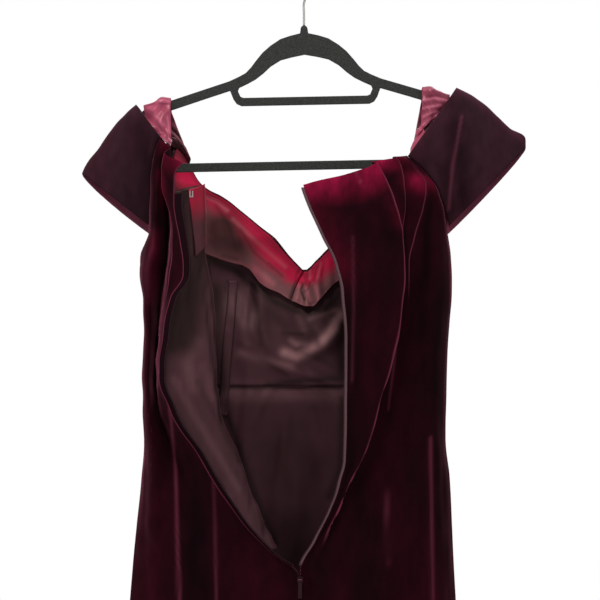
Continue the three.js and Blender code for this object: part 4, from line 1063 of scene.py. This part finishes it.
# ------------------------------------------------------------------ straps


def arm_top(x):
    """Height of the tilted hanger's upper edge over x."""
    slope, rise = np.sign(x) * ARM_SLOPE, ARM_START[1] + ARM_START[0] * ARM_SLOPE - HANGER_TOP
    c, s = math.cos(HANGER_TILT), math.sin(HANGER_TILT)
    along = (x + rise * s) / (c + slope * s)
    return HANGER_TOP + (rise - slope * along) * c + along * s


def strap_grid(strap, back, front):
    """The CAD strap's control rows, run through smooth lines, with the gathers of a ruched strap."""
    t = np.linspace(0, 1, STRAP_COLUMNS)
    x = mix(strap["outer"], strap["inner"], t)
    over = [point(x, y, arm_top(x) + lift) for y, lift in zip(*STRAP_OVER.values())]
    bow = point(mix(strap["outerBow"], strap["innerBow"], t), 0, 0)
    ends = [back(t) + [0, 0, LAY_GAP], front(t)]
    inner = [end * [1, STRAP_TUCK["inward"], 1] + [0, 0, STRAP_TUCK["up"]] for end in ends]
    rows = np.stack([ends[0], inner[0] + bow * strap["lowShare"], mix(inner[0], over[0], 0.5) + bow, *over,
                     mix(over[-1], inner[1], 0.5), inner[1], ends[1]])
    at = run(rows[:, 1])
    fine, across = (np.linspace(0, 1, count) for count in STRAP_FINE)
    grid = resample(rows, at / at[-1], fine).swapaxes(0, 1)
    grid = resample(grid, t, across).swapaxes(0, 1)
    along = fine[:, None] * at[-1]
    gather = np.sin(along / 3.1 + 2.2 * np.sin(across * 5) + 0.7 * np.sin(along / 17))
    gather = gather + 0.6 * np.sin(along / 5.3 + 9 * across + 1)
    swell = 2.2 + 1.1 * gather + 3.2 * np.sin(np.pi * across)
    fade = unit(np.minimum(fine, 1 - fine) * 9)[:, None]
    normals, middle = grid_normals(grid), len(across) // 2
    outward = np.sign(normals[grid[:, middle, 2].argmax(), middle, 2])
    return grid + normals * (swell * fade * outward)[..., None]


def strap_front_end(first, last):
    """Where a strap is sewn inside the front's top edge, between two places across the front."""
    def end(t):
        u = mix(first, last, t)
        z = neckline(share(u)) - 1.5
        return front_point(u, z) + inward_normal(u, z) * 1.7
    return end


def left_strap_end(t):
    across = mix(0.4, 0.6, t)
    return left_back_point(across, left_back_top(across) + VELVET / 2)


def right_strap_end(t):
    return point(*(curve(STRAP_RIGHT_SEAM, "across", axis)(t) for axis in "xyz"))


for side, strap, back, front, length in (
        ("left", STRAP_LEFT, left_strap_end, strap_front_end(0.03, 0.21), 0.13),
        ("right", STRAP_RIGHT, right_strap_end, strap_front_end(0.97, 0.8), 0.155)):
    grid = strap_grid(strap, back, front)
    cloth("strap_satin_" + side, "strap_" + side, grid, SATIN_LOOK, strap_satin,
          lit_and_shade("strap_" + side, grid), flat=(0.036, length), held="gathered",
          rests_on=["hanger_flocked"])

# ------------------------------------------------------------------ linings and facings


def near_edge(u, z):
    return unit((neckline(share(u)) - z) / 30)


def build_lining(part, z, lap, area):
    """A sheet of front lining. lap moves it towards the viewer, or away, where the two meet."""
    u = np.broadcast_to(unshare(np.linspace(*LINING_SIDES, z.shape[1])), z.shape)
    outside = front_point(u, z)
    inset = lining_inset(outside[..., 0], z, -1.5, near_edge(u, z)) + lap * bell((z - WAIST_SEAM) / TUCK)
    grid = outside + inward_normal(u, z) * inset[..., None]
    cloth(f"lining_{part}_front_cloth", f"lining_{part}_front", grid, LINING_LOOK, lining_satin,
          lit_and_shade(part, grid), flat=(0.42, 0.3), held="hung", area=area)


def build_facing(side, low, high, gathers, area):
    """One side's facing. The centre seam slants: at the facing's lower edge it lies further left.
    gathers lists (place, width, waves, depth) of ruffles at that edge."""
    up = np.concatenate([np.linspace(0, 0.78, 30), np.linspace(0.79, 1, 24)])[:, None]
    slant = FACING_SLANT * (1 - up)
    low, high = (low, high - slant) if side == "left" else (low - slant, high)
    places = mix(low, high, np.linspace(0, 1, 90)[None, :])
    edge = curve(FACING_EDGE, "share", "z")(places)
    z = mix(edge, neckline(places) - FACING_DROP, up)
    u = unshare(places)
    outside = front_point(u, z)
    x = outside[..., 0]
    off = SATIN + LAY_GAP + mix(FACING_LIFT, 0.2, up)
    ruffle = 0.5 * (1 + np.sin(x / 9.0 + 2 * up)) * (1 - up)
    for place, wide, count, depth in gathers:
        wave = 1 + np.sin(x / wide * count + 1.4 * up)
        ruffle += depth * bell((x - place) / wide) * wave * (1 - up) ** 0.7
    inset = lining_inset(x, z, 0, near_edge(u, z)) + off + ruffle
    grid = outside + inward_normal(u, z) * inset[..., None]
    deep = (neckline(share(u)) - z) * NECK_SLOPE
    trim = sum(strength * bell((deep - place) / width) for place, width, strength in NECK_TRIM)
    marks = lit_and_shade("facing_" + side, grid)
    marks["shade"] = np.maximum(unit(trim), marks["shade"])
    marks["lit"] = np.maximum(0.5 * bell((z - edge) / 1.2), marks["lit"])
    cloth(f"facing_front_{side}_cloth", "facing_front_" + side, grid, SATIN_LOOK, facing_satins[side], marks,
          flat=(0.17, 0.1), held="hung", area=area)


def build_channel():
    """The boning channel. Returns its grid, which the stitches follow."""
    dx = np.linspace(-CHANNEL_HALF, CHANNEL_HALF, 13)
    z = np.repeat(np.linspace(CHANNEL["z"].min(), CHANNEL["z"].max(), 80)[:, None], len(dx), 1)
    x = curve(CHANNEL, "z", "x")(z) + dx
    left, right = side_edge("frontLeft", z)[0], side_edge("frontRight", z)[0]
    u = unshare((x - left) / (right - left))
    domed = 1.1 * (1 - (dx / CHANNEL_HALF) ** 4)
    inset = lining_inset(x, z, -1.5) + SATIN / 2 + LAY_GAP + domed
    grid = front_point(u, z) + inward_normal(u, z) * inset[..., None]
    cloth("boning_channel_cloth", "boning_channel", grid, TRIM_LOOK, lining_satin,
          {"shade": line_marks("bodice shade", grid)}, flat=(0.0125, 0.175), held="hung")
    return grid


def build_stitches(name, line, lift, length=2.6, gap=1.0, radius=0.24, sides=5):
    """Dashes of thread along a line of points, each a slim prism just proud of the cloth."""
    at = run(line)
    places = np.arange(1, at[-1] - length - 1, length + gap)
    ends = np.stack([resample(line, at, places + step) for step in (0, length)], 1)
    out = resample(lift, at, places)
    side = np.cross(direction(ends[:, 1] - ends[:, 0]), out)
    angle = (np.arange(sides) * 2 * math.pi / sides)[:, None]
    ring = radius * (np.cos(angle) * side[:, None] + np.sin(angle) * out[:, None])
    rods(name, ends[:, :, None] + ring[:, None], lining_satin)


def build_left_lining():
    across = np.linspace(0, 1, 46)
    z = panel_heights(across, curve(LEFT_LINING_TOP, "across", "z"), 18, spaced(-727, UNDERARM, 4))
    across = np.broadcast_to(across, z.shape)
    base = left_lining_point(across, z)
    wrinkle = rumple(base[..., 0] * 1.5, z, 26, 1.2, 21) * unit(across * 8)
    cloth("lining_back_left_cloth", "lining_back_left", base + grid_normals(base) * wrinkle[..., None],
          TRIM_LOOK, lining_satin, lit_and_shade("lining_left", base),
          flat=(0.17, 0.47), held="hung", area=0.057)


def build_neck_facing():
    across = np.linspace(*NECK_FACING["across"][[0, -1]], 24)
    low, high = (curve(NECK_FACING, "across", name)(across) for name in ("low", "high"))
    z = mix(low, high, np.linspace(0, 1, 50)[:, None])
    across = np.broadcast_to(across, z.shape)
    grid = left_lining_point(across, z)
    grid = grid + grid_normals(grid) * (SATIN + LAY_GAP + NECK_LIFT)
    ripple = 0.9 * np.sin(z / 8 + across * 9) * unit((-280 - z) / 60)
    grid = grid + grid_normals(grid) * np.maximum(ripple, 0)[..., None]
    cloth("facing_back_left_cloth", "facing_back_left", grid, SATIN_LOOK, neck_satin, {},
          flat=(0.022, 0.08), held="hung")


bodice_top = neckline(np.linspace(*LINING_SIDES, 120)) - BODICE_DROP
build_lining("bodice", mix(WAIST_SEAM + SEAM_GAP, bodice_top, np.linspace(0, 1, 70)[:, None]), 1.2, 0.082)
build_lining("skirt", np.repeat(np.linspace(*SKIRT_LINING, 82)[:, None], 120, 1), -1.2, 0.108)
build_facing("left", 0.04, 0.524, [(-40, 26, 6, 0.8)], 0.0133)
build_facing("right", 0.526, 0.9, [(8, 16, 7, 2.2), (30, 14, 6, 1.2)], 0.0103)
channel = build_channel()
build_left_lining()
build_neck_facing()

# ------------------------------------------------------------------ zip


def build_tape(side, surface, edge, look):
    """A zip tape that goes on from a back's free edge. Returns the line of its teeth and their way out."""
    tape = TAPES[side]
    z = np.linspace(TAPE_FOOT, tape["top"], 120)
    start = surface(np.full_like(z, edge), z)
    way = direction(point(tape["out"], mix(*tape["lean"], unit((-300 - z) / 120)), 0))
    width = mix(tape["wide"], tape["narrow"], unit((-640 - z) / 100))[:, None]
    t = np.linspace(0, 1, 7)[None, :, None]
    grid = start[:, None] + way[:, None] * mix(TAPE_TUCK, TAPE_START + width[:, None], t)
    shown = width.mean() + TAPE_START - TAPE_TUCK
    cloth(f"zip_tape_{side}_cloth", "zip_tape_" + side, grid, TRIM_LOOK, look, {},
          flat=(TAPE_CUT, tape["length"]), held="hung", area=shown * MM * tape["length"])
    return start + way * (TAPE_START + width), way


def build_teeth(name, line, way):
    """A row of small zip teeth along a tape's edge."""
    at = run(line)
    places = np.arange(1.5, at[-1] - 1, 1.6)
    centre, out = resample(line, at, places)[:, None, None], resample(way, at, places)[:, None, None]
    side = direction(np.cross(out, [0, 0, 1]))
    b, c = numbers("-0.55 0.42, 0.55 0.42, 0.75 -0.42, -0.75 -0.42", 2).T[..., None]
    a = np.array([-0.9, 0.4])[:, None, None]
    rods(name, centre + out * a + side * b + c * [0, 0, 1], teeth_metal, smooth=False)


# lit and shaded copies of one tape colour: the right tape lighter plum, the left darkened with painted shade
teeth = {"left": build_tape("left", left_back_point, 1.0, tape_look("zip_tape_shaded", TAPE_SHADED)),
         "right": build_tape("right", right_back_point, 0.0, tape_look("zip_tape_lit_plum", TAPE_LIT_PLUM))}
for side, (line, way) in teeth.items():
    build_teeth("zip_teeth_" + side, line, way)
for column, side in ((1, "left"), (-2, "right")):
    build_stitches("channel_stitches_" + side, channel[:, column], grid_normals(channel)[:, column])

# ------------------------------------------------------------------ hanger and metal parts


def build_hanger():
    """The hanger's outline and its two gaps, filled and thickened, with rounded flocked edges."""
    outline = bpy.data.curves.new("hanger_outline", "CURVE")
    outline.dimensions = "2D"
    outline.fill_mode = "BOTH"
    outline.extrude = (HANGER_THICK / 2 - HANGER_EDGE) * MM
    outline.bevel_depth = HANGER_EDGE * MM
    outline.bevel_resolution = 3
    outline.offset = -HANGER_EDGE * MM
    for half in (HANGER_OUTER, HANGER_LOOP, HANGER_GAP):
        rows = [*half, *((-x, z) for x, z in half[::-1] if x > 0)]
        spline = outline.splines.new("POLY")
        spline.points.add(len(rows) - 1)
        for target, (x, z) in zip(spline.points, rows):
            target.co = (x * MM, (z - HANGER_TOP) * MM, 0, 1)
        spline.use_cyclic_u = True
    flat = add("hanger_outline", outline)
    mesh = bpy.data.meshes.new_from_object(flat.evaluated_get(bpy.context.evaluated_depsgraph_get()))
    x, up, y = np.array([v.co for v in mesh.vertices]).T / MM
    faces = [list(p.vertices) for p in mesh.polygons]
    bpy.data.objects.remove(flat)
    bpy.data.meshes.remove(mesh)
    c, s = math.cos(HANGER_TILT), math.sin(HANGER_TILT)
    obj = make("hanger_flocked", point(x * c - up * s, -y, x * s + up * c + HANGER_TOP), faces, flock,
               "hanger_body")
    bpy.context.view_layer.objects.active = obj
    for other in bpy.context.selected_objects:
        other.select_set(False)
    obj.select_set(True)
    bpy.ops.object.shade_smooth_by_angle(angle=math.radians(50))


def build_hook(count=160, sides=20):
    """The hook's wire: up out of the hanger's neck and round over the rod."""
    angles = np.radians(np.linspace(-20, 200, 12))
    centre = WIRE_RADIUS - HOOK_RADIUS
    stem = [(0, HANGER_TOP + SEAM_GAP), (0, -62), (0, -50), (4, -40), (13, -33)]
    bend = [(HOOK_RADIUS * math.cos(a), centre + HOOK_RADIUS * math.sin(a)) for a in angles]
    line = through([point(np.full(count, x), 0, z) for x, z in stem + bend], np.linspace(0, 1, count))
    side = np.array([0.0, 1.0, 0.0])
    across = np.cross(direction(np.gradient(line, axis=0)), side)[:, None]
    angle = np.linspace(0, 2 * np.pi, sides, endpoint=False)[:, None]
    rings = line[:, None] + WIRE_RADIUS * (np.cos(angle) * side + np.sin(angle) * across)
    rods("hook_wire", rings[None], steel, "hanger_hook")


build_hanger()
build_hook()
for node, look in (("zip_slider", zip_metal), ("zip_pull", zip_metal), ("neck_hook", steel)):
    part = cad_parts[node]
    part.data.materials.clear()
    part.data.materials.append(look[0])

# ------------------------------------------------------------------ camera, floor and light

CAMERA = {"x": -5, "z": -420.5, "distance": 2200, "lens": 105.6}
FLOOR = HEM - 30
WHITE = grey(1)


def add_camera():
    data = bpy.data.cameras.new("camera")
    data.lens = CAMERA["lens"]
    data.sensor_width = 36
    camera = add("camera", data)
    camera.location = Vector((CAMERA["x"], -CAMERA["distance"], CAMERA["z"])) * MM
    camera.rotation_euler = (math.pi / 2, 0, 0)
    bpy.context.scene.camera = camera


def add_light(name, place, target, size, power):
    data = bpy.data.lights.new(name, "AREA")
    data.size = size
    data.energy = power
    light = add(name, data)
    light.location = place
    light.rotation_euler = (Vector(target) - Vector(place)).to_track_quat("-Z", "Y").to_euler()


def add_floor():
    bpy.ops.mesh.primitive_plane_add(size=3.4, location=(0, 0, FLOOR * MM))
    floor = bpy.context.object
    floor.name = "floor"
    floor.data.materials.append(floor_look())
    floor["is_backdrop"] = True


def add_world():
    """Soft light from all sides, with plain white behind the dress."""
    world = bpy.data.worlds.new("studio")
    bpy.context.scene.world = world
    world.use_nodes = True
    nodes, links = world.node_tree.nodes, world.node_tree.links
    soft, seen = nodes["Background"], nodes.new("ShaderNodeBackground")
    for background, strength in ((soft, 0.4), (seen, 1.0)):
        background.inputs["Color"].default_value = WHITE
        background.inputs["Strength"].default_value = strength
    path, choose = nodes.new("ShaderNodeLightPath"), nodes.new("ShaderNodeMixShader")
    links.new(path.outputs["Is Camera Ray"], choose.inputs[0])
    links.new(soft.outputs[0], choose.inputs[1])
    links.new(seen.outputs[0], choose.inputs[2])
    links.new(choose.outputs[0], nodes["World Output"].inputs["Surface"])


add_camera()
add_floor()
add_world()
add_light("key", (-0.2, -1.3, 1.5), (0, 0, -0.45), 0.6, 34)
add_light("fill", (1.6, -1.4, -0.2), (0, 0, -0.5), 1.4, 7)
add_light("side", (-1.7, -0.6, -0.3), (0, 0, -0.6), 1.2, 8)
add_light("rear", (0.4, 1.6, 0.6), (0, 0, -0.5), 1.4, 16)
bpy.context.scene.view_settings.view_transform = "Standard"
bpy.context.scene.view_settings.look = "None"

boxes = {"cad": CAD_BOX, "visual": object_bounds()}
{k: [[float(v) for v in corner] for corner in box] for k, box in boxes.items()}
